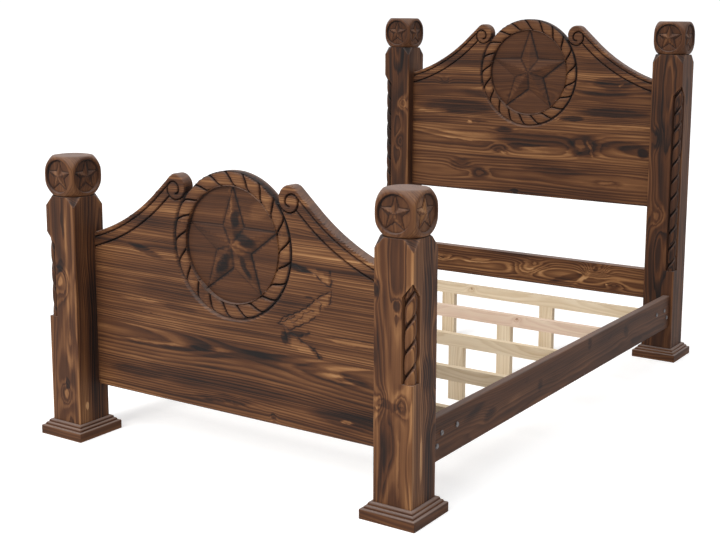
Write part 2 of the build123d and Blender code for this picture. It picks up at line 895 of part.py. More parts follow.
with BuildPart() as right_ledger_screws:
    for y in ledger_screw_ys:
        with Locations(
            Location((rail_inner_x - ledger_width, y, slat_bottom - ledger_height / 2), (0, -90, 0))
        ):
            add(ledger_screw)
with BuildPart() as ledger_screws:
    add(right_ledger_screws.part)
    mirror(right_ledger_screws.part, about=Plane.YZ)
save(ledger_screws.part, "ledger_screws")
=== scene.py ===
from math import cos, pi, radians, sin, sqrt, tan

import bmesh
import bpy
import numpy as np
from mathutils import Matrix, Vector, geometry, kdtree


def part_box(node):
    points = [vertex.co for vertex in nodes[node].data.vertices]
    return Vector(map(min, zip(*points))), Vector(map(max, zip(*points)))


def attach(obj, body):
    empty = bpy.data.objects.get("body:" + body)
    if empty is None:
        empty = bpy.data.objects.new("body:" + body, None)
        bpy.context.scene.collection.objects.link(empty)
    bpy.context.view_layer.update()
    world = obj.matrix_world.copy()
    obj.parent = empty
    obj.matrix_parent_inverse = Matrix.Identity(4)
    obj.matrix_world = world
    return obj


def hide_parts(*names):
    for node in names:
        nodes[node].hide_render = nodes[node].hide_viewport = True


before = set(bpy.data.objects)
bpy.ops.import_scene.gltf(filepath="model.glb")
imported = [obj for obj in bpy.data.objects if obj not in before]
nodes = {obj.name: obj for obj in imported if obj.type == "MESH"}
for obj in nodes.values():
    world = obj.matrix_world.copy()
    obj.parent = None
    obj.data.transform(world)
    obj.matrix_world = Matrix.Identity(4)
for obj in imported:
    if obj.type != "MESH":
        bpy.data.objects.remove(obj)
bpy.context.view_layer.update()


# --- Posts ---
# Four square posts of knotty pine, planed, brushed with a walnut stain and waxed to a satin.
# The outer corner of each is carved as a twisted rope that lies in a notch, pointed at the
# top and cut off square at the bottom, and the four top corners are trimmed to facets.

# Sizes are in millimetres, and in metres inside the materials
def metres(*sizes):
    return [size / 1000 for size in sizes]


def put(tree, kind, sockets=(), **settings):
    """Add a shader node, and plug values or other nodes' outputs into its sockets."""
    made = tree.nodes.new("ShaderNode" + kind)
    for key, value in settings.items():
        setattr(made, key, value)
    for key, value in dict(sockets).items():
        if isinstance(value, bpy.types.NodeSocket):
            tree.links.new(value, made.inputs[key])
        else:
            made.inputs[key].default_value = value
    return made


def calc(tree, operation, *values):
    return put(tree, "Math", dict(enumerate(values)), operation=operation).outputs[0]


def remap(tree, value, low, high, to_low=0.0, to_high=1.0):
    """Stretch a value's range, clamped at both ends."""
    sockets = {"Value": value, 1: low, 2: high, 3: to_low, 4: to_high}
    return put(tree, "MapRange", sockets).outputs[0]


def ramp(tree, value, *stops):
    """Colours or greys along a value: each stop is (place, colour)."""
    made = put(tree, "ValToRGB", {"Fac": value})
    points = made.color_ramp.elements
    while len(points) < len(stops):
        points.new(1)
    for point, (place, colour) in zip(points, stops):
        point.position = place
        point.color = (*colour, 1) if isinstance(colour, tuple) else (colour,) * 3 + (1,)
    return made.outputs[0]


def vector(tree, operation, first, second):
    made = put(tree, "VectorMath", {0: first, 1: second}, operation=operation)
    return made.outputs["Value" if operation == "DOT_PRODUCT" else "Vector"]


def joined(tree, x, y, z=0.0):
    return put(tree, "CombineXYZ", {0: x, 1: y, 2: z}).outputs[0]


def parts(tree, place):
    return put(tree, "SeparateXYZ", {0: place}).outputs


def in_piece(tree):
    """The place in the piece, in metres."""
    return put(tree, "TexCoord").outputs["Object"]


def noise(tree, place, scale, detail=2.0, roughness=0.5):
    """Noise with its own scale along, across and through the grain."""
    stretched = vector(tree, "MULTIPLY", place, scale)
    sockets = {"Vector": stretched, "Scale": 1.0, "Detail": detail}
    return put(tree, "TexNoise", {**sockets, "Roughness": roughness}).outputs["Fac"]


def noise_line(tree, value, scale, detail=1.0):
    """Noise along a line."""
    sockets = {"W": value, "Scale": scale, "Detail": detail}
    return put(tree, "TexNoise", sockets, noise_dimensions="1D").outputs["Fac"]


def blend_colours(tree, share, first, second):
    return put(tree, "Mix", {0: share, 6: first, 7: second}, data_type="RGBA").outputs[2]


def effect(name, inputs, outputs, kind="Float"):
    """Start a shader node group: its tree, and its inputs and outputs by name."""
    tree = bpy.data.node_groups.new(name, "ShaderNodeTree")
    for label, value in inputs.items():
        sort = "Vector" if isinstance(value, tuple) else "Float"
        socket = tree.interface.new_socket(
            name=label, in_out="INPUT", socket_type="NodeSocket" + sort)
        socket.default_value = value
    for label in outputs:
        tree.interface.new_socket(name=label, in_out="OUTPUT", socket_type="NodeSocket" + kind)
    ends = (tree.nodes.new("NodeGroupInput").outputs, tree.nodes.new("NodeGroupOutput").inputs)
    return tree, *ends


def use(tree, group, sockets):
    """Add a node group to a material and give back its outputs."""
    return put(tree, "Group", sockets, node_tree=group).outputs


# Growth rings round a pith beside the piece. Tone is the depth of colour, from dark to light;
# Line is high in the hard dark part of each ring; Fibre is the fine grain.
origin = (0.0, 0.0, 0.0)
rings, take, give = effect(
    "growth_rings",
    {"Place": origin, "Seed": 0.0, "Pith Across": 0.0, "Pith Depth": 0.0, "Spacing": 0.006,
     "Wander": 0.03, "Flow": 0.018, "Push": 0.0},
    ("Tone", "Line", "Fibre"))
seed = take["Seed"]
place = vector(rings, "ADD", take["Place"], joined(rings, seed, seed, seed))
part = parts(rings, take["Place"])
start = calc(rings, "ADD", part[0], seed)
squares = []
for axis, pith, rate in ((1, "Pith Across", 1.1), (2, "Pith Depth", 1.5)):
    drift = noise_line(rings, calc(rings, "ADD", start, 7.3 * axis), rate)
    drift = calc(rings, "SUBTRACT", drift, 0.5)
    centre = calc(rings, "MULTIPLY_ADD", drift, take["Wander"], take[pith])
    offset = calc(rings, "SUBTRACT", part[axis], centre)
    squares.append(calc(rings, "MULTIPLY", offset, offset))
radius = calc(rings, "SQRT", calc(rings, "ADD", *squares))
ripple = calc(rings, "SUBTRACT", noise(rings, place, (2.2, 14, 14), 3), 0.5)
radius = calc(rings, "MULTIPLY_ADD", ripple, take["Flow"], radius)
count = calc(rings, "DIVIDE", calc(rings, "ADD", radius, take["Push"]), take["Spacing"])
count = calc(rings, "MULTIPLY_ADD", noise_line(rings, count, 0.4), 1.8, count)
# Each ring darkens slowly to its late wood and ends sharply, some rings more than others
late_wood = ((0.0, 0.1), (0.22, 0.0), (0.52, 0.6), (0.84, 1.0), (1.0, 0.1))
late = ramp(rings, calc(rings, "FRACT", count), *late_wood)
own = put(rings, "TexWhiteNoise", {"W": calc(rings, "FLOOR", count)}, noise_dimensions="1D")
own = own.outputs["Value"]
rings.links.new(calc(rings, "MULTIPLY", late, remap(rings, own, 0, 1, 0.35, 1)), give["Line"])
fibre = noise(rings, place, (9, 240, 240), 2)
rings.links.new(fibre, give["Fibre"])
# Bands of rings, streaks, patches, dark clouds and fibres: noise, its low and high, and share
tone = 0.52
for source, low, high, share in (
    (noise_line(rings, calc(rings, "ADD", count, seed), 0.22, 2), 0.3, 0.7, 0.12),
    (noise(rings, place, (1.1, 75, 75), 2, 0.6), 0.32, 0.68, 0.09),
    (noise(rings, place, (2.6, 12, 12), 2), 0.32, 0.68, 0.09),
    (noise(rings, place, (1.5, 9, 9), 2), 0.72, 0.50, 0.10),
    (fibre, 0.3, 0.7, 0.035),
):
    tone = calc(rings, "MULTIPLY_ADD", remap(rings, source, low, high, -1, 1), share, tone)
lift = remap(rings, late, 0, 1, 0.45, -0.75)
tone = calc(rings, "MULTIPLY_ADD", lift, remap(rings, own, 0, 1, 0.16, 0.36), tone)
rings.links.new(tone, give["Tone"])

# A mark in the grain: a knot, a burl or a light tongue. It pushes the rings aside and makes
# the wood darker or lighter, on top of the marks before it.
mark, take, give = effect(
    "grain_mark",
    {"Place": origin, "At": origin, "Turn": 0.0, "Length": 0.05, "Width": 0.02, "Push": 0.0,
     "Tone": 0.0, "Push Before": 0.0, "Tone Before": 0.0},
    ("Push", "Tone"))
offset = vector(mark, "SUBTRACT", take["Place"], take["At"])
turned = put(mark, "VectorRotate", {"Vector": offset, "Angle": take["Turn"]},
             rotation_type="Z_AXIS", invert=True).outputs[0]
share = vector(mark, "DIVIDE", turned, joined(mark, take["Length"], take["Width"], take["Width"]))
far = vector(mark, "DOT_PRODUCT", share, share)
hill = calc(mark, "EXPONENT", calc(mark, "MULTIPLY", far, -1.0))
spot = remap(mark, hill, 0.27, 0.58)
for strength, label in ((hill, "Push"), (spot, "Tone")):
    total = calc(mark, "MULTIPLY_ADD", strength, take[label], take[label + " Before"])
    mark.links.new(total, give[label])

# The same place a little displaced, so that the marks have uneven edges
uneven, take, give = effect("uneven_edges", {"Place": origin}, ("Place",), "Vector")
place = take["Place"]
sway = joined(
    uneven,
    remap(uneven, noise(uneven, place, (9, 35, 35), 3, 0.6), 0.2, 0.8, -0.014, 0.014),
    remap(uneven, noise(uneven, place, (16, 60, 60), 3, 0.6), 0.2, 0.8, -0.005, 0.005))
uneven.links.new(vector(uneven, "ADD", place, sway), give["Place"])


def along(tree, axis):
    """The place in the piece, turned so that the grain runs along the first coordinate."""
    part = parts(tree, in_piece(tree))
    order = {"x": (0, 2, 1), "y": (1, 2, 0), "z": (2, 0, 1)}[axis]
    return joined(tree, *(part[k] for k in order))


def start_material(name):
    """A new material, its node tree and its shader."""
    made = bpy.data.materials.new(name)
    made.use_nodes = True
    return made, made.node_tree, made.node_tree.nodes["Principled BSDF"]


def surface(tree, skin, colour, roughness, height, strength, distance):
    """Colour, roughness and fine relief of a material."""
    relief = {"Strength": strength, "Distance": distance / 1000, "Height": height}
    bump = put(tree, "Bump", relief)
    tree.links.new(colour, skin.inputs["Base Color"])
    tree.links.new(roughness, skin.inputs["Roughness"])
    tree.links.new(bump.outputs[0], skin.inputs["Normal"])


def grain(tree, axis, seed, pith, marks, spacing=6, wander=30, flow=18):
    """The rings of a piece and the shade of its marks. A mark is its place along, across and
    through the grain, its length, width and tone, and often its push on the rings and turn."""
    place = along(tree, axis)
    near = use(tree, uneven, {"Place": place})["Place"]
    push, shade = 0.0, 0.0
    for x, y, z, length, width, tone, *more in marks:
        own_push, turn = (*more, 0, 0)[:2]
        *at, length, width, own_push = metres(x, y, z, length, width, own_push)
        push, shade = use(tree, mark, {
            "Place": near, "At": at, "Turn": turn, "Length": length, "Width": width,
            "Push": own_push, "Tone": tone, "Push Before": push, "Tone Before": shade})
    across, depth, spacing, wander, flow = metres(*pith, spacing, wander, flow)
    wood = use(tree, rings, {
        "Place": place, "Seed": seed, "Pith Across": across, "Pith Depth": depth,
        "Spacing": spacing, "Wander": wander, "Flow": flow, "Push": push})
    return wood, shade


stain_colours = (
    (0.0, (0.012, 0.009, 0.0085)), (0.22, (0.035, 0.0165, 0.0108)),
    (0.45, (0.082, 0.0325, 0.0150)), (0.65, (0.155, 0.067, 0.028)),
    (0.85, (0.295, 0.142, 0.058)), (1.0, (0.45, 0.25, 0.115)),
)
# Colour of the painted sheen, a painted reflection on faces that look up
sheen_colour = (0.36, 0.29, 0.26, 1)
calm_tone, cut_stain_and_shade, wax_shine = 0.48, -0.62, 0.13


def stained_pine(name, axis, seed, pith, marks=(), spacing=6.2, wander=30, contrast=1.0,
                 depth=0.0, flow=18, top_sheen=0.26):
    """Material of one stained piece: its rings and marks, dark in the carved hollows with stain
    and painted shade, light on worn edges, and paler with a painted sheen where it faces up. Depth
    makes the stain darker all over."""
    made, tree, skin = start_material(name)
    wood, shade = grain(tree, axis, seed, pith, marks, spacing, wander, flow)
    tone = calc(tree, "MULTIPLY_ADD", wood["Tone"], contrast, 0.5 - 0.5 * contrast - depth)
    calm = put(tree, "Attribute", attribute_name="calm").outputs["Fac"]
    tone = calc(tree, "MULTIPLY_ADD", calc(tree, "SUBTRACT", calm_tone - depth, tone), calm, tone)
    tone = calc(tree, "ADD", tone, shade)
    # The carved attribute darkens the stain in hollows and cuts and adds painted shade there and
    # on sides turned from the light; below 0 it lightens
    carved = put(tree, "Attribute", attribute_name="carved").outputs["Fac"]
    tone = calc(tree, "MULTIPLY_ADD", carved, cut_stain_and_shade, tone)
    # Painted sheen: paler where the face looks up, kept out of the hollows
    upward = parts(tree, put(tree, "NewGeometry").outputs["Normal"])[2]
    open_wood = remap(tree, carved, 0.1, 0.4, 1, 0)
    sheen_share = calc(tree, "MULTIPLY", remap(tree, upward, 0.2, 1, 0, top_sheen), open_wood)
    colour = blend_colours(tree, sheen_share, ramp(tree, tone, *stain_colours), sheen_colour)
    skin.inputs["Specular IOR Level"].default_value = wax_shine
    height = calc(tree, "MULTIPLY_ADD", wood["Fibre"], 0.25, wood["Line"])
    surface(tree, skin, colour, remap(tree, tone, 0.2, 0.8, 0.60, 0.48), height, 0.45, 0.8)
    return made


def make_piece(name, corners, faces, carved, sharp=35, calm=0.0):
    """A mesh object from corners and faces, smooth but for its sharp edges. Carved is 1 in
    the deepest hollows, as stain and painted shade, and below 0 on the worn edges and under
    painted highlights; calm hides the rings of the wood."""
    mesh = bpy.data.meshes.new(name)
    mesh.from_pydata([tuple(c) for c in np.asarray(corners) / 1000], [], faces)
    for label, values in (("carved", carved), ("calm", calm * np.ones(len(corners)))):
        column = mesh.attributes.new(label, "FLOAT", "POINT")
        column.data.foreach_set("value", np.asarray(values, np.float32))
    made = bpy.data.objects.new(name, mesh)
    bpy.context.scene.collection.objects.link(made)
    work = bmesh.new()
    work.from_mesh(mesh)
    bmesh.ops.remove_doubles(work, verts=work.verts, dist=2e-5)
    bmesh.ops.recalc_face_normals(work, faces=work.faces)
    work.to_mesh(mesh)
    work.free()
    mesh.shade_smooth()
    mesh.set_sharp_from_angle(angle=radians(sharp))
    return made


post_side, post_ease = 133, 3.5
post_x, post_y = 671.5, 1041.5
facet_drop, facet_reach = 36, 70
notch, notch_point = 38, 44
rope_radius, rope_set, rope_lean, rope_pitch = 26, 27, radians(48), 72
# The cut between two strands: half its width on the posts, its depth, and the rounding
# beside it with its reach
twist_half, cut_depth, cut_swell, cut_reach = 6, 9.5, 4, 20


def fade(away, width, start=1):
    """From start, at most 1, down to 0 at a distance."""
    return np.clip(start - away / width, 0, 1)


def strand_cut(turn, pitch, half):
    """Distance from the nearest cut between two strands of rope, and the depth there. The turn
    is counted in strands."""
    share = np.mod(turn, 1)
    away = np.minimum(share, 1 - share) * pitch
    return away, cut_depth * fade(away, half) + cut_swell * fade(away, cut_reach) ** 2


def corner_line(size, count):
    """A corner of the post, as distances from its tip along the two faces that meet there."""
    u = np.linspace(0, 1, count)
    if size > 1.6 * post_ease:
        return np.stack([size * (1 - u), size * u], 1)
    turn = u * pi / 2
    return post_ease * np.stack([1 - np.sin(turn), 1 - np.cos(turn)], 1)


def rope_line(width, z, rope_low, count):
    """The strands of the rope across the corner, and their shading: painted shade in the cuts and
    along the notch, heaviest beside the front face, and lighter crests.
    """
    u = np.linspace(-1, 1, count)
    tip = np.stack([np.clip(-u, 0, 1) * width, np.clip(u, 0, 1) * width], 1)
    ray = tip - rope_set
    reach = np.hypot(*ray.T)
    ray /= reach[:, None]
    twist = (ray[:, 1] - ray[:, 0]) / sqrt(2) * rope_radius
    turn = (z - rope_low - twist * tan(rope_lean)) / rope_pitch - 0.6
    away, strand = strand_cut(turn, rope_pitch * cos(rope_lean), twist_half)
    valley = 8 * np.clip((np.abs(u) - 0.5) / 0.5, 0, 1) ** 1.4 * (width / notch)
    carved = np.minimum(rope_radius - strand - valley, reach - 0.4)
    # Painted shade in the cuts and along the notch's edges, heaviest beside the front face;
    # lighter strand crests
    cut = fade(away, 5.5, 1.1) * np.clip(0.75 - 0.35 * u, 0, 1)
    valley = np.clip((-u - 0.72) / 0.2, 0, 1) * (0.4 + 0.4 * cut) + np.clip((u - 0.9) / 0.6, 0, 1)
    ridge = np.clip((away - 9) / 8, 0, 1) * fade(np.abs(u + 0.2), 0.4)
    return rope_set + ray * carved[:, None], np.maximum(0.8 * cut, valley) - 0.12 * ridge


def post_rings(height, rope_low, rope_high):
    """Rings of corners up a right-hand post at the origin; the rope is towards +X and -Y."""
    rope_count, plain_count, face_count, rope_step, end_share = 41, 6, 9, 2.8, 0.988
    facet_low = height - facet_drop
    levels = [0, 1.5, *np.linspace(40, rope_low - 6, 8), rope_low - 1.0, rope_low - 0.05]
    levels += [*np.arange(rope_low + 0.05, rope_high - 1, rope_step), rope_high - 0.05]
    levels += [rope_high + 1, *np.linspace(rope_high + 20, facet_low - 8, 6)]
    levels += [*np.linspace(facet_low, height - 2, 12), height]
    corners, shading = [], []
    for z in levels:
        rise = max(0, (z - facet_low) / facet_drop)
        facet = (post_side / sqrt(2) - facet_reach) * rise * sqrt(2)
        width = notch * min(1, (rope_high - z) / notch_point) if rope_low < z < rope_high else 0
        ring, shades = [], []
        for k, (sx, sy) in enumerate(((1, -1), (1, 1), (-1, 1), (-1, -1))):
            back_x, back_y = np.array([-sx, 0]), np.array([0, -sy])
            back_a, back_b = (back_x, back_y) if k % 2 == 0 else (back_y, back_x)
            across = np.linspace(-1, 1, rope_count + 2 if k == 0 else plain_count)
            # Light on the worn edges, dark on the facets
            shade = 0.32 - 0.5 * across ** 4 if rise else np.full(len(across), -0.2)
            line = corner_line(facet, len(shade))
            if k == 0 and width > 1.3 * post_ease:
                line, shade[1:-1] = rope_line(width, z, rope_low, rope_count)
                line = np.vstack([(width, 0), line, (0, width)])
            tip = np.array([sx, sy]) * post_side / 2
            block = tip + line[:, :1] * back_a + line[:, 1:] * back_b
            if ring:
                ring.append(np.linspace(ring[-1][-1], block[0], face_count)[1:-1])
                shades.append(np.zeros(face_count - 2))
            ring.append(block)
            shades.append(shade)
        ring.append(np.linspace(ring[-1][-1], ring[0][0], face_count)[1:-1])
        shades.append(np.zeros(face_count - 2))
        flat = np.vstack(ring) * (end_share if z in (0, height) else 1)
        corners.append(np.column_stack([flat, np.full(len(flat), z)]))
        shading.append(np.concatenate(shades))
    return np.vstack(corners), np.concatenate(shading), len(levels)


def skin_over(count, around):
    """Faces between rings of corners that lie one above the other, with both ends closed."""
    faces = []
    for low in range(0, (count - 1) * around, around):
        for i in range(around):
            j = (i + 1) % around
            faces.append([low + i, low + j, low + around + j, low + around + i])
    return faces + [list(range(around))[::-1], [(count - 1) * around + i for i in range(around)]]


post_marks = {
    "foot_post_left": (
        (310, -644, -1108, 100, 16, 0.2, 6, 0.03), (146, -667, -1108, 45, 30, 0, 22),
        (150, -667, -1108, 16, 12, 0.14), (185, -660, -1108, 22, 12, -0.35),
        (545, -674, -1108, 50, 30, 0, 20), (545, -674, -1108, 26, 18, 0.18),
        (598, -676, -1108, 22, 18, -0.35), (300, -605, -1000, 320, 70, -0.3),
        (115, -605, -1075, 16, 7, 0.5), (450, -620, -1108, 250, 12, 0.12),
        (660, -605, -1060, 200, 60, -0.14), (600, -645, -1108, 200, 7, 0.16),
    ),
    "foot_post_right": (
        (686, 616, -1108, 28, 12, -0.25, 12), (646, 684, -1108, 18, 12, -0.3, 10),
        (352, 630, -1108, 35, 20, 0, 14), (352, 700, -1108, 35, 20, 0, 14),
        (352, 630, -1108, 6, 10, 0.2), (352, 700, -1108, 6, 10, 0.2),
        (350, 660, -1108, 13, 60, -0.2), (190, 738, -1057, 75, 8, 0.3, 4),
        (600, 738, -1000, 160, 12, 0.16), (440, 738, -1030, 60, 30, -0.18, 16),
        (330, 738, -1020, 50, 40, 0, 14), (150, 738, -1020, 140, 20, -0.16),
        (660, 738, -1030, 100, 30, -0.12, 10), (235, 656, -1108, 95, 24, -0.17, 6),
        (150, 665, -1108, 200, 70, -0.12), (550, 640, -1108, 160, 30, -0.1),
        (130, 640, -1108, 60, 10, -0.15), (160, 690, -1108, 120, 5, 0.16),
        (210, 618, -1108, 150, 6, 0.16), (620, 655, -1108, 140, 12, 0.1),
        (520, 612, -1108, 60, 10, -0.15),
    ),
    "head_post_left": (
        (1040, -640, 975, 35, 28, 0.2, 16), (860, -650, 975, 30, 20, -0.2, 16),
        (550, -660, 975, 120, 20, -0.12, 8),
    ),
    "head_post_right": (
        (950, 640, 975, 50, 20, -0.2, 14), (620, 660, 975, 50, 30, 0.12, 18),
        (400, 738, 1030, 100, 15, 0.12, 10), (1150, 738, 1040, 60, 20, -0.15, 14),
    ),
}

post_depth = {"foot_post_left": 0.06, "foot_post_right": 0.095}
# Of each end: its side of the middle, the posts' height, and the rope's bottom and top
ends = (("foot", -1, 837, 419, 716), ("head", 1, 1301, 387, 1174))
sides = (("right", 1), ("left", -1))
for end, toward, height, rope_low, rope_high in ends:
    corners, shading, count = post_rings(height, rope_low, rope_high)
    faces = skin_over(count, len(corners) // count)
    for side, hand in sides:
        node = f"{end}_post_{side}"
        placed = corners * (hand, 1, 1) + (hand * post_x, toward * post_y, 0)
        post = make_piece(node + "_carved", placed, faces, shading, 30)
        pith = (hand * post_x + 12, toward * post_y + 50)
        post.data.materials.append(stained_pine(
            "stain_" + node, "z", 5.1 * hand + height / 100, pith, post_marks[node],
            depth=post_depth.get(node, 0.24)))
        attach(post, "root")
        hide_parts(node)


# --- Plinths ---
# Four moulded strips of pine round the foot of each post, mitred at the corners and nailed,
# so that the grain runs along each strip. Stained like the posts.

def paint(name, finish):
    """Give a CAD piece its finish, through its object's material slots."""
    for slot in nodes[name].material_slots:
        slot.material = finish


def box_of(name):
    """The low and high corner of a CAD piece."""
    return [1000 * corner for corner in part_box(name)]


def plinth_pine(name, seed, middle):
    """Stained pine whose grain turns at the mitres round the middle of a plinth."""
    # A strong painted sheen on the plinths' faces that look up
    made = stained_pine(name, "x", seed, (50, middle.y - 50), (), 7.5, 20, 0.6, 0.10, top_sheen=0.5)
    tree = made.node_tree
    middle_x, middle_y = metres(middle.x, middle.y)
    x, y, z = parts(tree, in_piece(tree))
    from_x = calc(tree, "SUBTRACT", x, middle_x)
    from_y = calc(tree, "SUBTRACT", y, middle_y)
    beside_post = calc(
        tree, "GREATER_THAN", calc(tree, "ABSOLUTE", from_x), calc(tree, "ABSOLUTE", from_y))
    strips = {
        0: beside_post, 4: joined(tree, x, z, y),
        5: joined(tree, y, z, calc(tree, "ADD", from_x, middle_y))}
    place = put(tree, "Mix", strips, data_type="VECTOR").outputs[1]
    for group in [n for n in tree.nodes if n.type == "GROUP"]:
        tree.links.new(place, group.inputs["Place"])
    return made


for i, name in enumerate(n for n in sorted(nodes) if "plinth" in n):
    low, high = box_of(name)
    paint(name, plinth_pine("stain_" + name, 3.7 * i + 1, (low + high) / 2))


# --- Finials ---
# A block of pine on top of each post, its edges and corners rounded like a dice, with a
# five-point star carved in a sunk disc on each of its four sides.

finial_side, finial_ball = 137, 94.5
finial_sink, finial_star, finial_waist = 8, 54, 0.42
# The sunk disc has a sloping rim, from its edge down to the floor round the star
rim_edge, rim_slope = 57, 3


def straight(start, end, step=3.0):
    count = max(2, int(np.hypot(*np.subtract(end, start)) / step) + 1)
    return np.linspace(start, end, count)


def arc(centre, radius, start, end, step=3.0):
    """Points round an arc, with angles in degrees."""
    count = max(2, int(abs(radians(end - start)) * radius / step) + 1)
    angle = np.radians(np.linspace(start, end, count))
    return np.stack([centre[0] + radius * np.cos(angle), centre[1] + radius * np.sin(angle)], 1)


def grid(low_x, high_x, low_z, high_z, step):
    x, z = np.meshgrid(np.arange(low_x, high_x, step), np.arange(low_z, high_z, step))
    return np.stack([x.ravel(), z.ravel()], 1)


def nearest(points, line):
    """Distance from each point to a closely sampled line."""
    tree = kdtree.KDTree(len(line))
    for i, (x, z) in enumerate(line):
        tree.insert((x, z, 0), i)
    tree.balance()
    return np.array([tree.find((x, z, 0))[2] for x, z in points])


def star_corners(radius, waist):
    """Tips and waists of a five-point star, in turn."""
    return np.array([
        (r * cos(radians(90 + 36 * i)), r * sin(radians(90 + 36 * i)))
        for i, r in enumerate([radius, radius * waist] * 5)
    ])


def star_lines(corners, step):
    """Outline and ridges of a faceted star, as points."""
    lines = [straight(corners[i - 1], corners[i], step) for i in range(10)]
    return lines + [straight((0, 0), corner, step) for corner in corners]


def star_facets(points, corners):
    """Each point's height on a faceted star, from 1 at the peak, its distance outside the star,
    its angle, and which of the ten facets it is on."""
    angle = np.arctan2(points[:, 1], points[:, 0])
    sector = np.floor(np.mod(angle - pi / 2, 2 * pi) / (pi / 5)).astype(int) % 10
    a, b = corners[sector], corners[(sector + 1) % 10]
    normal = np.stack([(b - a)[:, 1], -(b - a)[:, 0]], 1)
    normal /= np.hypot(*normal.T)[:, None]
    reach, out = np.sum(a * normal, 1), np.sum(points * normal, 1)
    return 1 - out / reach, out - reach, angle, sector


def filled(outline, inside):
    """Triangles over a flat outline with points inside it, and where its corners went."""
    points = [Vector(p) for p in outline] + [Vector(p) for p in inside]
    made = geometry.delaunay_2d_cdt(points, [], [list(range(len(outline)))], 1, 1e-4)
    ring = [0] * len(outline)
    for i, sources in enumerate(made[3]):
        for source in sources:
            if source < len(outline):
                ring[source] = i
    return np.array([tuple(p) for p in made[0]]), [list(f) for f in made[2]], ring


half = finial_side / 2
edge = np.linspace(-half, half, 24)
there, back, side_line = edge[:-1], edge[:0:-1], np.full(23, half)
square = np.vstack([np.stack(pair, 1) for pair in (
    (there, -side_line), (side_line, there), (back, side_line), (-side_line, back))])
tips = star_corners(finial_star, finial_waist)
strokes = [arc((0, 0), r, 0, 360, 2.5) for r in (52.5, 54, 56, 57.5)] + star_lines(tips, 2.5)
strokes = np.vstack(strokes)
spots = grid(-half + 4, half - 3, -half + 4, half - 3, 4.2)
carved_side = filled(square, np.vstack([strokes, spots[nearest(spots, strokes) > 1.6]]))
plain_side = filled(square, spots)
# Shade of the ten facets, on the side away from the light
lee = np.array([-0.1, -0.2, 0.3, -0.1, 0.1, -0.15, 0.12, 0.3, 0.0, 0.25])

corners, faces, shading = [], [], []
for turn in range(6):
    flat, triangles, _ = carved_side if turn < 4 else plain_side
    block = np.column_stack([flat, np.full(len(flat), half)])
    # A cube with rounded edges, cut back to a ball at its corners
    size = (np.abs(block / half) ** 16).sum(1) ** (1 / 16)
    block = block / size[:, None]
    reach = np.linalg.norm(block, axis=1) / finial_ball
    block *= (1 / (1 + reach ** 60) ** (1 / 60))[:, None]
    shade = np.zeros(len(flat))
    if turn < 4:
        rise, outside, angle, sector = star_facets(flat, tips)
        radius = np.hypot(*flat.T)
        in_disc = radius < finial_star
        cut = 1.2 * fade(np.abs(outside), 2)
        floor = finial_sink + 0.8 - 1.6 * np.clip(outside / 16, 0, 1)
        sunk = np.where(outside > 0, floor, finial_sink * (1.1 - 0.95 * rise)) + cut
        rim = np.clip((rim_edge - radius) / rim_slope, 0, 1) ** 0.7 * finial_sink
        block[:, 2] -= np.where(in_disc, sunk, rim * (radius < rim_edge))
        # Painted shade: the facets lighter or darker by lee, the disc's floor darker towards its
        # top, and dark lines on the star's outline and round the rim, darkest at its top left
        shade = np.where(outside < 0, lee[sector], 0.06 + 0.08 * np.sin(angle)) * in_disc
        line = 0.5 * fade(np.abs(outside), 2.5) * (radius < finial_star + 1)
        rim_line = (0.5 + 0.4 * np.cos(angle - 2.1)) * fade(np.abs(radius - finial_star), 4)
        line = np.maximum(line, rim_line)
        shade = np.where(line > 0.02, np.maximum(shade, line), shade)
    shade = shade - 0.14 * fade(np.abs(np.abs(flat).max(1) - half + 4), 6)
    x, y, z = block.T
    start = sum(len(c) for c in corners)
    faces += [[start + i for i in f] for f in triangles]
    corners.append((
        np.stack([x, -z, y], 1), np.stack([z, x, y], 1), np.stack([-x, z, y], 1),
        np.stack([-z, -x, y], 1), np.stack([x, y, z], 1), np.stack([x, -y, -z], 1))[turn])
    shading.append(shade)
corners, shading = np.vstack(corners), np.concatenate(shading)

finial_marks = {
    "foot_finial_right": ((920, 738, -1060, 30, 30, 0.16, 12),),
    "foot_finial_left": ((920, -600, -1050, 60, 50, -0.14),),
}
for end, toward, base, *_ in ends:
    for side, hand in sides:
        node = f"{end}_finial_{side}"
        placed = corners + (hand * post_x, toward * post_y, base + half)
        finial = make_piece(node + "_carved", placed, faces, shading, 28, 0.5)
        pith = (hand * post_x + 50, toward * post_y + 60)
        finial.data.materials.append(stained_pine(
            "stain_" + node, "z", 8.3 * hand + base / 90, pith, finial_marks.get(node, ()),
            7, 20, 0.9, 0.08 if end == "head" else 0.02))
        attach(finial, "root")
        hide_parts(node)


# --- Footboard and headboard ---
# Wide pine planks, glued edge to edge and tenoned into the posts, then carved as one board:
# a crest moulding that ends in scrolls, and a sunk star in a ring of rope. Carved by hand
# with gouges, so the edges are soft, and the cuts are darkest, with the stain and with
# painted shade.

# Measured from the middle of the ring; the board runs from post face to post face
board_thickness, post_face = 42, 605
scroll_x, scroll_z, scroll_radius = 232, 168, 43
shoulder_radius, slope, post_slope, straight_run = 36, radians(42.5), radians(16), 90
gap_floor = 150
rope_in, rope_out, ring_groove = 190, 236, 9
crown, rope_half = (rope_in + rope_out) / 2, (rope_out - rope_in) / 2
strands, strand_start, strand_swing = 21, 0.3, radians(7.0)
strand_width = 2 * pi * crown / strands * 0.78
disc_depth, star_radius, star_waist = 13, 187, 0.395
# Rounding of the crest's edge and how far it reaches, and that of the rope and of the
# board's lower and back edges
edge_roll, edge_reach, rope_roll, lower_ease, back_ease = 7, 9, 6, 3, 2.5
# Half the width of a groove, its rounding, and half the width of a cut in the rope
groove_half, groove_swell, cut_half = 4, 1.6, 4.6
# The cracks' depth, and the painted highlight on the burl's flakes
crack_depth, flake_highlight = 1.5, -0.36
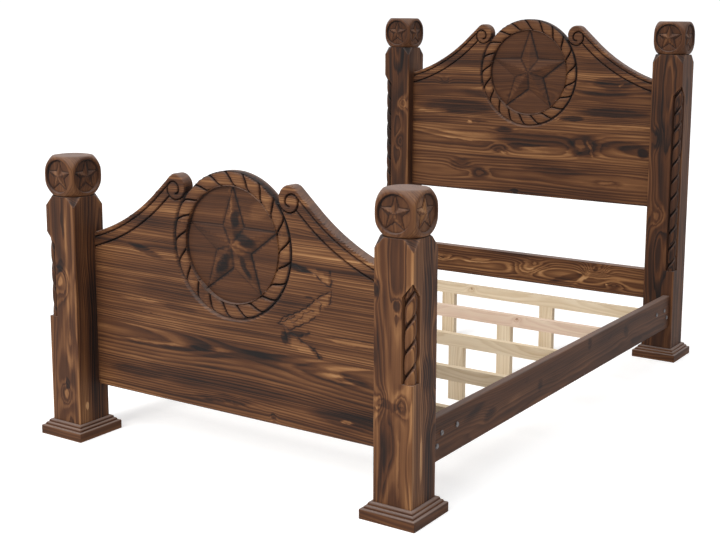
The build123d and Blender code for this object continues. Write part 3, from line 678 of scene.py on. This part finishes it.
# Steps between the corners of the mesh, on plain and on carved wood and along the outline
plain_step, carved_step, outline_step = 9, 4.5, 12
# How far the corners go sideways and up, and the width of the crest that is carved
span, crest_top, moulding_width = post_face - 1, 240, 58
run_end = np.array([
    scroll_x + shoulder_radius * sin(slope) + straight_run * cos(slope),
    scroll_z + scroll_radius - shoulder_radius * (1 - cos(slope)) - straight_run * sin(slope)])
sweep_radius = (post_face - run_end[0]) / (sin(slope) - sin(post_slope))
sweep_centre = run_end + sweep_radius * np.array([sin(slope), cos(slope)])


def crest(inset, start_x, step=3.0):
    """The right-hand crest from the post up to start_x on its straight run, moved inwards."""
    radius = sweep_radius + inset
    low = np.degrees(np.arcsin((sweep_centre[0] - post_face) / radius))
    sweep = arc(sweep_centre, radius, 270 - low, 270 - np.degrees(slope), step)
    top = sweep[-1] + (sweep[-1][0] - start_x) / cos(slope) * np.array([-cos(slope), sin(slope)])
    return np.vstack([sweep, straight(sweep[-1], top, step)[1:]])


def spiral():
    """Groove of the right-hand scroll: quarter turns of shrinking radius."""
    place, heading, points = np.array([scroll_x - scroll_radius, scroll_z]), -90.0, []
    for radius in scroll_radius * np.array((1, 0.79, 0.58, 0.56, 0.35)):
        side = radians(heading + 90)
        centre = place + radius * np.array([cos(side), sin(side)])
        points.append(arc(centre, radius, heading - 90, heading, 2.0))
        place, heading = points[-1][-1], heading + 90
    return np.vstack(points)


def beside(line, distance):
    """A line moved sideways, to its left."""
    heading = np.gradient(line, axis=0)
    normal = np.stack([-heading[:, 1], heading[:, 0]], 1)
    return line + distance * normal / np.hypot(*normal.T)[:, None]


shoulder_top = scroll_z + scroll_radius - shoulder_radius
half_outline = np.vstack([
    crest(0, scroll_x + shoulder_radius * sin(slope), 5),
    arc((scroll_x, shoulder_top), shoulder_radius, 90 - np.degrees(slope), 90)[1:],
    arc((scroll_x, scroll_z), scroll_radius, 90, 204.7)[1:],
])
ring_start = np.degrees(np.arcsin(gap_floor / rope_out))
ring_top = arc((0, 0), rope_out, ring_start, 180 - ring_start, 4)
crest_outline = np.vstack([half_outline, ring_top, half_outline[::-1] * (-1, 1)])
# The grooves of the moulding and the scroll: line, depth and shade, the stain in them with
# painted shade
grooves = (
    (crest(17, scroll_x + 29), 6, 0.55), (crest(47, scroll_x + 29), 6, 0.7), (spiral(), 8, 0.75))
star_tips = star_corners(star_radius, star_waist)
# Of the star's ten facets: how deep the outline is cut, which also sets its painted shade,
# and the painted shade of the facet
edge_cuts = np.array([0.55, 0.45, 0.25, 0.4, 1, 0.25, 1, 1, 0.5, 0.8])
facet_shade = np.array([0.0, 0.0, 0.14, 0.0, 0.18, 0.02, 0.16, 0.10, 0.02, 0.12])
# Painted shade of the lines outside and inside the rope, by the angle in degrees
outer_shading = (
    (0, 45, 90, 150, 180, 205, 225, 250, 280, 300, 360),
    (1, 0.9, 0.6, 0.7, 0.85, 0.4, 0.1, 0.15, 0.5, 1, 1),
)
inner_shading = (
    (0, 45, 90, 135, 180, 215, 235, 270, 300, 330, 360),
    (0.6, 0.5, 0.7, 0.9, 0.95, 0.5, 0.1, 0.1, 0.3, 0.5, 0.6),
)


def rope_cut(index, side=0.0):
    """The cut between two strands of the ring: it swings round at both ends."""
    share = np.linspace(-1, 1, 19)
    angle = 2 * pi * (index + strand_start) / strands + strand_swing * share
    radius = crown + rope_half * np.sin(share * pi / 2)
    return beside(np.stack([radius * np.cos(angle), radius * np.sin(angle)], 1), side)


# Burl to the right of the footboard's ring: its cracks, each a half width and a line, and
# its flakes, painted lighter as a painted highlight on raised wood
burl_cracks = (
    (3, ((232, -33), (304, -47), (342, -63), (386, -85))),
    (5, ((386, -40), (391, -63), (388, -84))),
    (2.5, ((390, -100), (341, -125), (296, -162), (207, -206), (187, -228))),
    (3, ((187, -228), (234, -237), (303, -208), (330, -186))),
    (2.5, ((386, -140), (391, -120), (390, -100))),
    (5, ((210, -240), (222, -256), (224, -280))),
    (3, ((234, -246), (272, -262), (300, -274), (348, -308))),
    (6, ((268, -258), (282, -250), (306, -238))),
    (3.5, ((320, -284), (335, -296), (350, -312))),
    (3, ((242, -214), (276, -196), (292, -176), (322, -170))),
    (2.5, ((334, -134), (352, -146), (350, -160))),
    (2, ((206, -218), (226, -206), (250, -196))),
)
burl_flakes = (
    ((298, -34), (345, -42), (382, -58), (386, -80), (342, -62), (310, -48)),
    ((388, -104), (341, -127), (296, -164), (215, -206), (192, -224), (234, -232), (300, -205),
     (350, -168), (380, -138)),
    ((236, -250), (272, -270), (311, -284), (344, -306), (272, -301), (236, -286)),
)


def path(corners):
    """Points along a ragged line between corners."""
    runs = [straight(a, b) for a, b in zip(corners, corners[1:])]
    line = np.vstack([runs[0], *(run[1:] for run in runs[1:])])
    x, z = line.T
    sway = np.sin(x / 7.3 + z / 5.1) + np.sin(x / 13.7 - z / 17.9)
    return line + np.stack([1.5 * sway, 2.2 * np.roll(sway, 2)], 1)


def carve(points, bottom, cracks, flakes):
    """Depth of the carving below the board's face, its shading (stain with painted shade in the
    hollows, light worn edges, a painted highlight on the burl's flakes), and where the tool has
    broken up the rings of the wood."""
    folded = np.abs(points[:, 0])[:, None] * (1, 0) + points[:, 1][:, None] * (0, 1)
    depth, dark = np.zeros(len(points)), np.zeros(len(points))
    radius = np.hypot(*points.T)
    height, outside, angle, facet = star_facets(points, star_tips)
    degrees = np.degrees(angle) % 360
    # Rounded edge along the crest
    near = nearest(folded, half_outline)
    open_wood = radius > rope_out + 1
    roll = edge_roll * (1 - np.sqrt(np.clip(1 - fade(near, edge_reach) ** 2, 0, 1)))
    depth = np.where(open_wood, roll, depth)
    # Grooves of the moulding and of the scroll
    worn = fade(near, 6)
    for line, deep, shade in grooves:
        away = nearest(folded, line)
        cut = deep * fade(away, groove_half) + groove_swell * fade(away, 9) ** 2
        depth = np.where(open_wood, np.maximum(depth, cut), depth)
        # Painted shade in the grooves, with the stain
        dark = np.where(open_wood, np.maximum(dark, shade * fade(away, 4.6, 1.1)), dark)
        worn = np.maximum(worn, fade(np.abs(away - 7), 3))
    dark = dark - 0.16 * worn * open_wood
    # Groove round the ring
    past_rope = radius - rope_out
    outer = (radius > rope_out) & (radius < rope_out + ring_groove)
    groove = ring_groove * (1 - past_rope / ring_groove)
    depth = np.where(outer, np.maximum(depth, groove), depth)
    # Painted shade along the outer groove, by the angle round the ring
    outer_line = np.interp(degrees, *outer_shading) * fade(np.abs(past_rope - 1), 5.5, 1.2)
    dark = np.maximum(dark, outer_line)
    # Strands of rope
    across = np.clip((radius - crown) / rope_half, -1, 1)
    body = rope_roll * (1 - np.sqrt(1 - 0.97 * across ** 2))
    turn = angle - strand_swing * 2 / pi * np.arcsin(across)
    away, strand = strand_cut(
        turn / (2 * pi / strands) - strand_start, strand_width, cut_half)
    in_rope = (radius >= rope_in) & (radius <= rope_out)
    depth = np.where(in_rope, body + strand * (1 - 0.35 * np.abs(across)), depth)
    # Painted shade in the cuts between the strands; lighter crests
    ridge = 0.04 + 0.15 * np.clip((away - 5) / 7, 0, 1) * (1 - across ** 2)
    dark = np.where(in_rope, np.maximum(dark, fade(away, 3.4, 1.2)) - ridge, dark)
    # Sunk disc and its star
    # Painted shade on the star: along its cut outline, in the folds between its arms, on its
    # facets and on the floor round it
    line = edge_cuts[facet] * fade(np.abs(outside), 4)
    floor = disc_depth + 2.5 - 5.5 * np.clip(outside / 60, 0, 1)
    inner = np.where(outside > 0, floor, disc_depth + 2.5 - 1.06 * disc_depth * height)
    disc = radius < rope_in - 1.5
    depth = np.where(disc, np.clip(inner + 1.6 * line, 0.2, 18), depth)
    fold = np.abs(np.mod(angle + pi / 2 + pi / 5, 2 * pi / 5) - pi / 5) * radius
    valley = 0.5 * fade(fold, 3.5) * (outside < 0)
    shade = facet_shade[facet] * (outside < 0) + 0.07 * (outside >= 0)
    shade = np.maximum(np.maximum(0.95 * np.clip(1.3 * line, 0, 1), valley), shade)
    # Painted shade along the inside of the rope, by the angle round the ring
    inner_line = np.interp(degrees, *inner_shading) * fade(rope_in - radius, 5.5, 1.2)
    dark = np.where(disc, np.maximum(shade, inner_line), dark)
    # Burl: a painted highlight on the flakes, and painted shade in the cracks, broken along their
    # length
    calm = np.where(disc, 0.55, np.where(in_rope, 0.35, 0))
    for flake in flakes:
        light = inside_of(points, np.array(flake))
        dark = np.where(light, flake_highlight, dark)
        calm = np.where(light, 0.3, calm)
    for width, crack in cracks:
        away = nearest(points, path(crack))
        depth = np.maximum(depth, crack_depth * fade(away, width))
        strength = np.clip(0.72 + 0.5 * np.sin(points[:, 0] / 11 - points[:, 1] / 8), 0.25, 1)
        dark = dark + (0.8 - dark) * fade(away, width, 1.15) * strength
    # Eased lower edge
    eased = lower_ease * fade(points[:, 1] - bottom, 4) ** 2
    return np.maximum(depth, eased), dark, calm


# Lines that the corners of the mesh follow: both sides of each cut, the ring and the star
features = [
    np.vstack([line, line * (-1, 1)])
    for groove, *_ in grooves
    for line in (groove, beside(groove, groove_half), beside(groove, -groove_half))]
features += [rope_cut(i, side) for i in range(strands) for side in (0, -4.4, 4.4)]
ring_lines = (182, 186.5, 189, 190.5, 196, crown, 230, 235.5, 237, 241, 246)
features += [arc((0, 0), radius, 0, 360, 3) for radius in ring_lines]
features += star_lines(star_tips, 3)
features += [star_lines(star_tips * s, 3)[i] for s in (1.035, 0.955) for i in range(10)]
features = np.vstack(features)
radius = np.hypot(*features.T)
features = features[(radius > rope_in + 4) | (radius < rope_in + 1)]


def inside_of(points, outline):
    """Which points lie inside a closed outline."""
    x, z = points.T
    hit = np.zeros(len(points), bool)
    for (ax, az), (bx, bz) in zip(outline, np.roll(outline, -1, 0)):
        if az != bz:
            hit ^= ((az > z) != (bz > z)) & (x < (bx - ax) * (z - az) / (bz - az) + ax)
    return hit


def clip_level(outline, level, side):
    """Cut an outline at a level and keep what lies above it (side 1) or below it (side -1)."""
    kept = []
    for a, b in zip(outline, np.roll(outline, -1, 0)):
        a_in, b_in = side * a[1] >= side * level, side * b[1] >= side * level
        if a_in:
            kept.append(a)
        if a_in != b_in:
            kept.append(a + (b - a) * (level - a[1]) / (b[1] - a[1]))
    return np.array(kept)


def edge_points(outline, step):
    return np.vstack([straight(a, b, step)[:-1] for a, b in zip(outline, np.roll(outline, -1, 0))])


def carved_plank(name, medallion, bottom, low, high, front_y, cracks, flakes):
    """One plank, between two glue lines, of a board carved as a whole."""
    outline = np.vstack([crest_outline, [(-post_face, bottom), (post_face, bottom)]])
    glue_lines = [(level, side) for level, side in ((low, 1), (high, -1)) if level is not None]
    for level, side in glue_lines:
        outline = clip_level(outline, level, side)
    outline = edge_points(outline, outline_step)
    lowest = bottom if low is None else low
    highest = crest_top if high is None else high
    # Loose corners, close together on the rope and the moulding
    plain = grid(-span, span, lowest, highest, plain_step)
    middle = grid(-250, 250, lowest, highest, carved_step)
    radius = np.hypot(*middle.T)
    middle = middle[(radius > rope_in) & (radius < rope_out + 12)]
    top = grid(-span, span, max(lowest, -80), highest, carved_step)
    folded = top * (np.sign(top[:, 0])[:, None] * (1, 0) + (0, 1))
    moulding = nearest(folded, half_outline) < moulding_width
    top = top[moulding & (np.hypot(*top.T) > rope_out)]
    fine = np.vstack([middle, top])
    plain = plain[nearest(plain, fine) > 6] if len(fine) else plain
    # Corners along the strokes of the gouge, the seams and the cracks
    seams = [straight((-span, z), (span, z), plain_step) for z in (lowest + 4, highest - 4)]
    crack_points = [beside(path(c), side) for width, c in cracks for side in (0, width, -width)]
    strokes = np.vstack([features, *seams, *crack_points])
    loose = np.vstack([plain, fine])
    loose = loose[nearest(loose, strokes) > 2.0]
    spots = np.vstack([strokes, loose])
    spots = spots[inside_of(spots, outline)]
    spots = spots[nearest(spots, edge_points(outline, 1.5)) > 1.2]
    flat, faces, ring = filled(outline, spots)
    depth, dark, calm = carve(flat, bottom, cracks, flakes)
    for level, side in glue_lines:
        at_seam = side * (flat[:, 1] - level) < 0.5
        dark = np.where(at_seam, np.maximum(dark, 0.2), dark)

    def stand(spots, y):
        return np.stack([spots[:, 0], y + np.zeros(len(spots)), medallion + spots[:, 1]], 1)

    # The edge all round, and the plain back
    edge = flat[ring]
    free = (nearest(edge, crest_outline) < 0.5) | (edge[:, 1] < bottom + 0.5)
    inset = np.where(free & (np.abs(edge[:, 0]) < span), back_ease, 0)[:, None]
    heading = np.roll(edge, -1, 0) - np.roll(edge, 1, 0)
    normal = np.stack([-heading[:, 1], heading[:, 0]], 1) / np.hypot(*heading.T)[:, None]
    back_y = front_y + board_thickness
    corners = np.vstack([
        stand(flat, front_y + depth), stand(edge, back_y - back_ease),
        stand(edge + normal * inset, back_y)])
    count, around = len(flat), len(edge)
    calm[ring] = 0.5
    dark = np.concatenate([dark, np.zeros(2 * around)])
    calm = np.concatenate([calm, np.full(around, 0.5), np.zeros(around)])
    for i in range(around):
        j = (i + 1) % around
        faces.append([ring[i], ring[j], count + j, count + i])
        faces.append([count + i, count + j, count + around + j, count + around + i])
    faces.append([count + around + i for i in range(around)][::-1])
    return make_piece(name, corners, faces, dark, calm=calm)


# The marks of each plank, without their depth: they all lie at its face
plank_marks = {
    "footboard_plank_1": (
        (140, 380, 340, 200, 0, 17), (180, 393, 150, 14, -0.2),
        (-120, 377, 60, 11, -0.25, 0, 0.05), (-340, 362, 160, 13, -0.18, 0, 0.04),
        (-340, 366, 140, 7, 0.3, 0, 0.04), (-80, 380, 110, 14, -0.16, 0, 0.02),
        (-80, 383, 100, 7, 0.3, 0, 0.02), (410, 366, 130, 20, -0.2), (410, 366, 110, 13, 0.38),
        (460, 366, 70, 6, -0.35), (460, 240, 160, 24, -0.22, 10), (453, 233, 26, 5, 0.5),
        (-30, 222, 130, 14, -0.24, 12, 0.05), (170, 198, 12, 16, -0.2, 8, 0.8),
        (-420, 250, 120, 18, -0.18),
    ),
    "footboard_plank_2": (
        (500, 484, 140, 16, -0.18), (500, 484, 130, 9, 0.34), (250, 478, 40, 12, -0.35, 0, 0.3),
        (200, 520, 90, 30, -0.1), (212, 462, 22, 12, -0.3, 0, -1),
        (335, 428, 30, 10, -0.25, 0, -0.6), (-400, 502, 90, 4, 0.22, 0, 0.02),
        (-220, 497, 80, 9, -0.16), (-123, 569, 20, 20, -0.12), (-300, 455, 200, 12, 0.1, 6, 0.03),
    ),
    "footboard_plank_3": (
        (290, 590, 30, 12, -0.35, 0, 0.5), (262, 690, 50, 10, -0.32, 0, -0.15),
        (-370, 674, 75, 14, -0.25, 10, -0.25), (54, 749, 50, 22, -0.38, 0, -0.4),
        (100, 752, 40, 12, -0.16, 0, 0.1), (-44, 662, 42, 24, -0.38, 0, 0.85),
        (56, 650, 58, 15, -0.4, 0, -1.05), (26, 722, 34, 20, 0.2, 0, -0.6),
        (12, 814, 19, 30, -0.38),
    ),
    "footboard_plank_4": (
        (12, 814, 19, 30, -0.38), (110, 850, 50, 30, 0.14, 0, 0.6), (-10, 870, 6, 50, 0.18),
        (-420, 820, 100, 20, 0, 14, 0.2), (400, 800, 100, 12, -0.12, 10),
    ),
    "headboard_plank_1": (
        (-335, 768, 60, 26, -0.14, 14), (-235, 735, 45, 22, -0.14, 12),
        (-58, 664, 22, 12, -0.35, 10), (138, 770, 160, 16, -0.16), (400, 735, 100, 15, 0.05, 10),
    ),
    "headboard_plank_2": (
        (290, 886, 85, 50, -0.34, 16), (265, 896, 28, 24, 0.34, 0, 0.3),
        (318, 880, 8, 40, 0.34, 0, 0.35), (300, 862, 40, 12, -0.2, 0, 0.3),
        (-135, 852, 45, 22, -0.22, 14), (-118, 838, 16, 6, 0.3), (50, 905, 220, 34, -0.28, 8),
        (-300, 900, 200, 20, 0.12, 10), (-116, 940, 50, 12, -0.3, 10), (560, 876, 30, 22, -0.4),
        (100, 862, 120, 10, 0.14, 6), (460, 905, 120, 20, -0.2),
    ),
    "headboard_plank_3": (
        (-360, 1035, 200, 34, -0.3, 6), (-500, 1010, 100, 10, 0.28, 0, 0.03),
        (-292, 967, 14, 6, 0.26, 6), (-250, 972, 50, 6, -0.2), (420, 1042, 180, 20, -0.3, 6),
        (228, 1008, 55, 14, -0.34), (135, 1000, 35, 14, 0.16, 18), (500, 985, 120, 10, 0.14),
        (-350, 995, 160, 6, 0.12),
    ),
    "headboard_plank_4": (
        (450, 1163, 12, 7, 0.32, 0, 0.6), (420, 1168, 90, 30, -0.32, 8),
        (380, 1120, 120, 16, -0.2, 4), (-200, 1120, 100, 12, 0.14), (332, 1170, 90, 6, -0.18),
        (-430, 1155, 30, 15, -0.16, 14), (50, 1190, 50, 30, -0.1, 20),
    ),
    "headboard_plank_5": ((300, 1260, 100, 20, 0, 8),),
}

# Of each board: the height of its ring and of its lower edge, its glue lines up from the
# middle of the ring, its face, and the height of the pith behind each plank
boards = (
    ("footboard", 730, 175, (-315, -130, 55), -1017, (382, 330, 420, 600),
     burl_cracks, burl_flakes, 1.0, 0.07),
    ("headboard", 1204, 649, (-389, -249, -121, 45), 1019, (735, 885, 900, 1100, 1150),
     (), (), 0.88, 0.05),
)
for board, medallion, bottom, seams, front_y, hearts, cracks, flakes, contrast, depth in boards:
    edges = (None, *seams, None)
    for i, heart in enumerate(hearts):
        node = f"{board}_plank_{i + 1}"
        plank = carved_plank(
            node + "_carved", medallion, bottom - medallion, edges[i], edges[i + 1], front_y,
            cracks, flakes)
        marks = [(x, z, front_y, *shape) for x, z, *shape in plank_marks[node]]
        plank.data.materials.append(stained_pine(
            "stain_" + node, "x", 11.3 * i + medallion / 100, (heart, front_y + 70), marks,
            8.2, 18, contrast, depth, 12))
        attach(plank, "root")
        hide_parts(node)


# --- Lower rail and side rails ---
# Straight planed pine boards with eased edges, stained like the boards. The lower rail joins
# the head posts and is full of swirling knots; the side rails are plainer and darker.

rail_marks = {
    "headboard_lower_rail": (
        (36, 318, 1020, 75, 30, 0.1, 34, 0.2), (36, 318, 1020, 22, 10, 0.1),
        (360, 345, 1020, 55, 30, 0, 40, 0.1), (360, 345, 1020, 12, 10, -0.3),
        (450, 285, 1020, 50, 16, -0.1, 18), (410, 283, 1020, 6, 5, 0.6),
        (-430, 312, 1020, 55, 16, 0.12, 22), (-430, 312, 1020, 14, 5, -0.4),
        (-240, 318, 1020, 70, 13, 0.15, 10, 0.1), (220, 290, 1020, 100, 12, -0.25, 0, 0.3),
        (300, 300, 1020, 60, 12, 0.16, 6, 0.7),
    ),
    "side_rail_right": (
        (-840, 200, 738, 50, 8, -0.3, 6, 0.3), (-720, 235, 738, 90, 20, -0.22, 0, 0.2),
        (-620, 200, 738, 50, 22, -0.25, 12, 0.2), (-660, 226, 738, 30, 12, 0.18, 0, 0.3),
        (-540, 235, 738, 50, 10, -0.28, 10, 0.6), (-450, 205, 738, 70, 18, 0.14, 0, 0.1),
        (-360, 245, 738, 40, 14, -0.18, 0, 0.4), (-260, 205, 738, 30, 22, -0.2, 0, 0.9),
        (-100, 200, 738, 100, 20, 0, 10, 0.1), (150, 260, 738, 20, 30, -0.2, 12, 0.3),
        (50, 215, 738, 60, 12, 0.12, 0, 0.2), (340, 240, 738, 40, 15, -0.2, 0, 0.5),
        (500, 230, 738, 30, 30, -0.15, 12, 0.3),
    ),
    "side_rail_left": (
        (200, 210, -738, 60, 20, -0.1, 18, 0.2), (-500, 240, -738, 40, 15, -0.2, 14, 0.2),
        (200, 210, -600, 50, 20, -0.1, 18, 0.2),
    ),
}
for name, axis, seed, pith, spacing, wander, contrast, depth in (
    ("headboard_lower_rail", "x", 2.3, (300, 985), 8, 12, 1.0, 0.03),
    ("side_rail_right", "y", 6.1, (160, 660), 5.8, 30, 0.6, 0.17),
    ("side_rail_left", "y", 17.9, (250, -660), 5.8, 30, 0.6, 0.17),
):
    paint(name, stained_pine(
        "stain_" + name, axis, seed, pith, rail_marks[name], spacing, wander, contrast, depth))


# --- Slats, legs and ledgers ---
# Left as raw planed pine: pale, with faint rings. The ledgers are screwed inside the side
# rails, the slats lie across them, and two short legs stand under each slat but the first.

raw_colours = (
    (0.0, (0.26, 0.14, 0.07)), (0.3, (0.50, 0.36, 0.22)), (0.5, (0.61, 0.475, 0.315)),
    (0.75, (0.71, 0.585, 0.42)), (1.0, (0.80, 0.70, 0.55)),
)
pink_colours = (
    (0.0, (0.26, 0.13, 0.07)), (0.3, (0.52, 0.35, 0.25)), (0.5, (0.63, 0.46, 0.35)),
    (0.75, (0.71, 0.57, 0.44)), (1.0, (0.78, 0.68, 0.54)),
)


def raw_pine(name, axis, seed, pith, colours, marks=()):
    """Material of a piece of bare pine."""
    made, tree, skin = start_material(name)
    wood, shade = grain(tree, axis, seed, pith, marks)
    tone = calc(tree, "ADD", calc(tree, "MULTIPLY_ADD", wood["Tone"], 0.62, 0.24), shade)
    skin.inputs["Specular IOR Level"].default_value = 0.3
    height = calc(tree, "MULTIPLY_ADD", wood["Line"], 0.5, wood["Fibre"])
    surface(tree, skin, ramp(tree, tone, *colours), remap(tree, tone, 0.3, 0.8, 0.78, 0.66),
            height, 0.3, 0.6)
    return made


# Slats with a knot, and where it is across the bed
knot_places = {"slat_2": -120, "slat_4": 310, "slat_5": -120}
bare = [n for n in sorted(nodes) if n.startswith("slat_") and "screws" not in n]
for i, name in enumerate(bare):
    low, high = box_of(name)
    middle = (low + high) / 2
    if "leg" in name:
        axis, pith = "z", (middle.x + 50, middle.y + 70)
    elif "ledger" in name:
        axis, pith = "y", (middle.z - 80, middle.x + 30)
    else:
        axis, pith = "x", (middle.z + 30, middle.y + 80)
    knots = ()
    if name in knot_places:
        at = (knot_places[name], middle.z + 10, low.y)
        knots = ((*at, 30, 14, -0.1, 12, 0.2), (*at, 6, 5, -0.45))
    colours = pink_colours if name == "slat_4" else raw_colours
    paint(name, raw_pine("raw_" + name, axis, 4.3 * i + 0.7, pith, colours, knots))


# --- Hooks, bolts, screws and dowels ---
# The side rails hang on steel hook plates in the posts, bolted through the rail ends with
# zinc-plated bolts, and countersunk screws hold the ledgers and slats. The pins in the hooks
# are turned from steel, and birch dowels hold the finials.

scuffs, take, give = effect("scuffs", {"Place": origin}, ("Worn", "Grain"))
place = take["Place"]
worn = remap(scuffs, noise(scuffs, place, (55, 55, 55), 4, 0.6), 0.42, 0.62)
scuffs.links.new(worn, give["Worn"])
scuffs.links.new(noise(scuffs, place, (700, 700, 700), 2), give["Grain"])


def plated_steel(name, bright, dull, rough):
    """Zinc-plated steel, duller and rougher where it is handled."""
    made, tree, skin = start_material(name)
    worn, fine = use(tree, scuffs, {"Place": in_piece(tree)})
    colour = blend_colours(tree, worn, (*bright, 1), (*dull, 1))
    skin.inputs["Metallic"].default_value = 1.0
    surface(tree, skin, colour, remap(tree, worn, 0, 1, rough, rough + 0.2), fine, 0.2, 0.3)
    return made


bright_zinc = plated_steel("bright_zinc", (0.16, 0.15, 0.15), (0.07, 0.06, 0.06), 0.45)
finishes = {
    "bolts": bright_zinc,
    "nuts": bright_zinc,
    "screws": plated_steel("yellow_zinc", (0.80, 0.68, 0.42), (0.60, 0.50, 0.33), 0.3),
    "hook": plated_steel("black_steel", (0.16, 0.16, 0.17), (0.32, 0.30, 0.28), 0.4),
    "dowel": raw_pine("birch_dowel", "z", 31.0, (900, 900), raw_colours),
}
for name in nodes:
    for word, finish in finishes.items():
        if word in name:
            paint(name, finish)


# --- Studio ---
# Not part of the bed: a white sweep under a broad soft light from above, with a large lamp in
# front and a weak one at the side, and the camera in front of the foot, to the right. All in
# metres.

def place_in_scene(name, data):
    made = bpy.data.objects.new(name, data)
    bpy.context.scene.collection.objects.link(made)
    return made


floor_mesh = bpy.data.meshes.new("floor")
floor_mesh.from_pydata([(-30, -30, 0), (30, -30, 0), (30, 30, 0), (-30, 30, 0)], [], [range(4)])
place_in_scene("floor", floor_mesh)
floor_paint, tree, skin = start_material("floor_paint")
skin.inputs["Base Color"].default_value = (0.88, 0.88, 0.88, 1)
skin.inputs["Roughness"].default_value = 0.95
skin.inputs["Specular IOR Level"].default_value = 0.1
lifted = remap(tree, put(tree, "LightPath").outputs["Is Camera Ray"], 0, 1, 0.0, 0.34)
white = put(tree, "CombineColor", {0: lifted, 1: lifted, 2: lifted}).outputs[0]
tree.links.new(white, skin.inputs["Emission Color"])
skin.inputs["Emission Strength"].default_value = 1.0
floor_mesh.materials.append(floor_paint)

sky = bpy.data.worlds.new("studio")
bpy.context.scene.world = sky
sky.use_nodes = True
tree = sky.node_tree
glow = tree.nodes["Background"]
ray = put(tree, "LightPath").outputs
seen = calc(tree, "MAXIMUM", ray["Is Camera Ray"], ray["Is Transmission Ray"])
seen = calc(tree, "MAXIMUM", seen, ray["Is Glossy Ray"])
glow.inputs["Color"].default_value = (0.97, 0.98, 1.0, 1)
tree.links.new(remap(tree, seen, 0, 1, 0.40, 1.1), glow.inputs["Strength"])


def lamp(name, at, aim, size, watts, colour):
    light = bpy.data.lights.new(name, "AREA")
    light.shape = "RECTANGLE"
    light.size, light.size_y = size
    light.energy = watts
    light.color = colour
    made = place_in_scene(name, light)
    made.location = at
    made.rotation_euler = (Vector(aim) - Vector(at)).to_track_quat("-Z", "Y").to_euler()


lamp("key", (-1.6, -9.5, 8.0), (0, 0, 0.6), (6, 5), 800, (1.0, 0.985, 0.96))
lamp("side", (6.0, -1.5, 3.2), (0, 0, 0.5), (4, 3), 12, (0.97, 0.98, 1.0))
roof = bpy.data.lights.new("overhead", "SUN")
roof.energy, roof.angle = 1.7, radians(80)
place_in_scene("overhead", roof)

eye = bpy.data.cameras.new("camera")
camera = place_in_scene("camera", eye)
bpy.context.scene.camera = camera
stand_point, yaw, pitch, roll = (2.4984, -3.9211, 1.4520), 0.5567, 0.1620, 0.0104
forward = Vector((-sin(yaw) * cos(pitch), cos(yaw) * cos(pitch), -sin(pitch)))
level = Vector((cos(yaw), sin(yaw), 0))
upright = level.cross(forward)
right = level * cos(roll) + upright * sin(roll)
up = upright * cos(roll) - level * sin(roll)
turn = Matrix((right, up, -forward)).transposed().to_4x4()
camera.matrix_world = Matrix.Translation(stand_point) @ turn
eye.sensor_width = 36
eye.lens = 61.123
eye.shift_x, eye.shift_y = -0.07922, -0.07703
eye.clip_start, eye.clip_end = 0.05, 200

bpy.context.scene.view_settings.view_transform = "Standard"
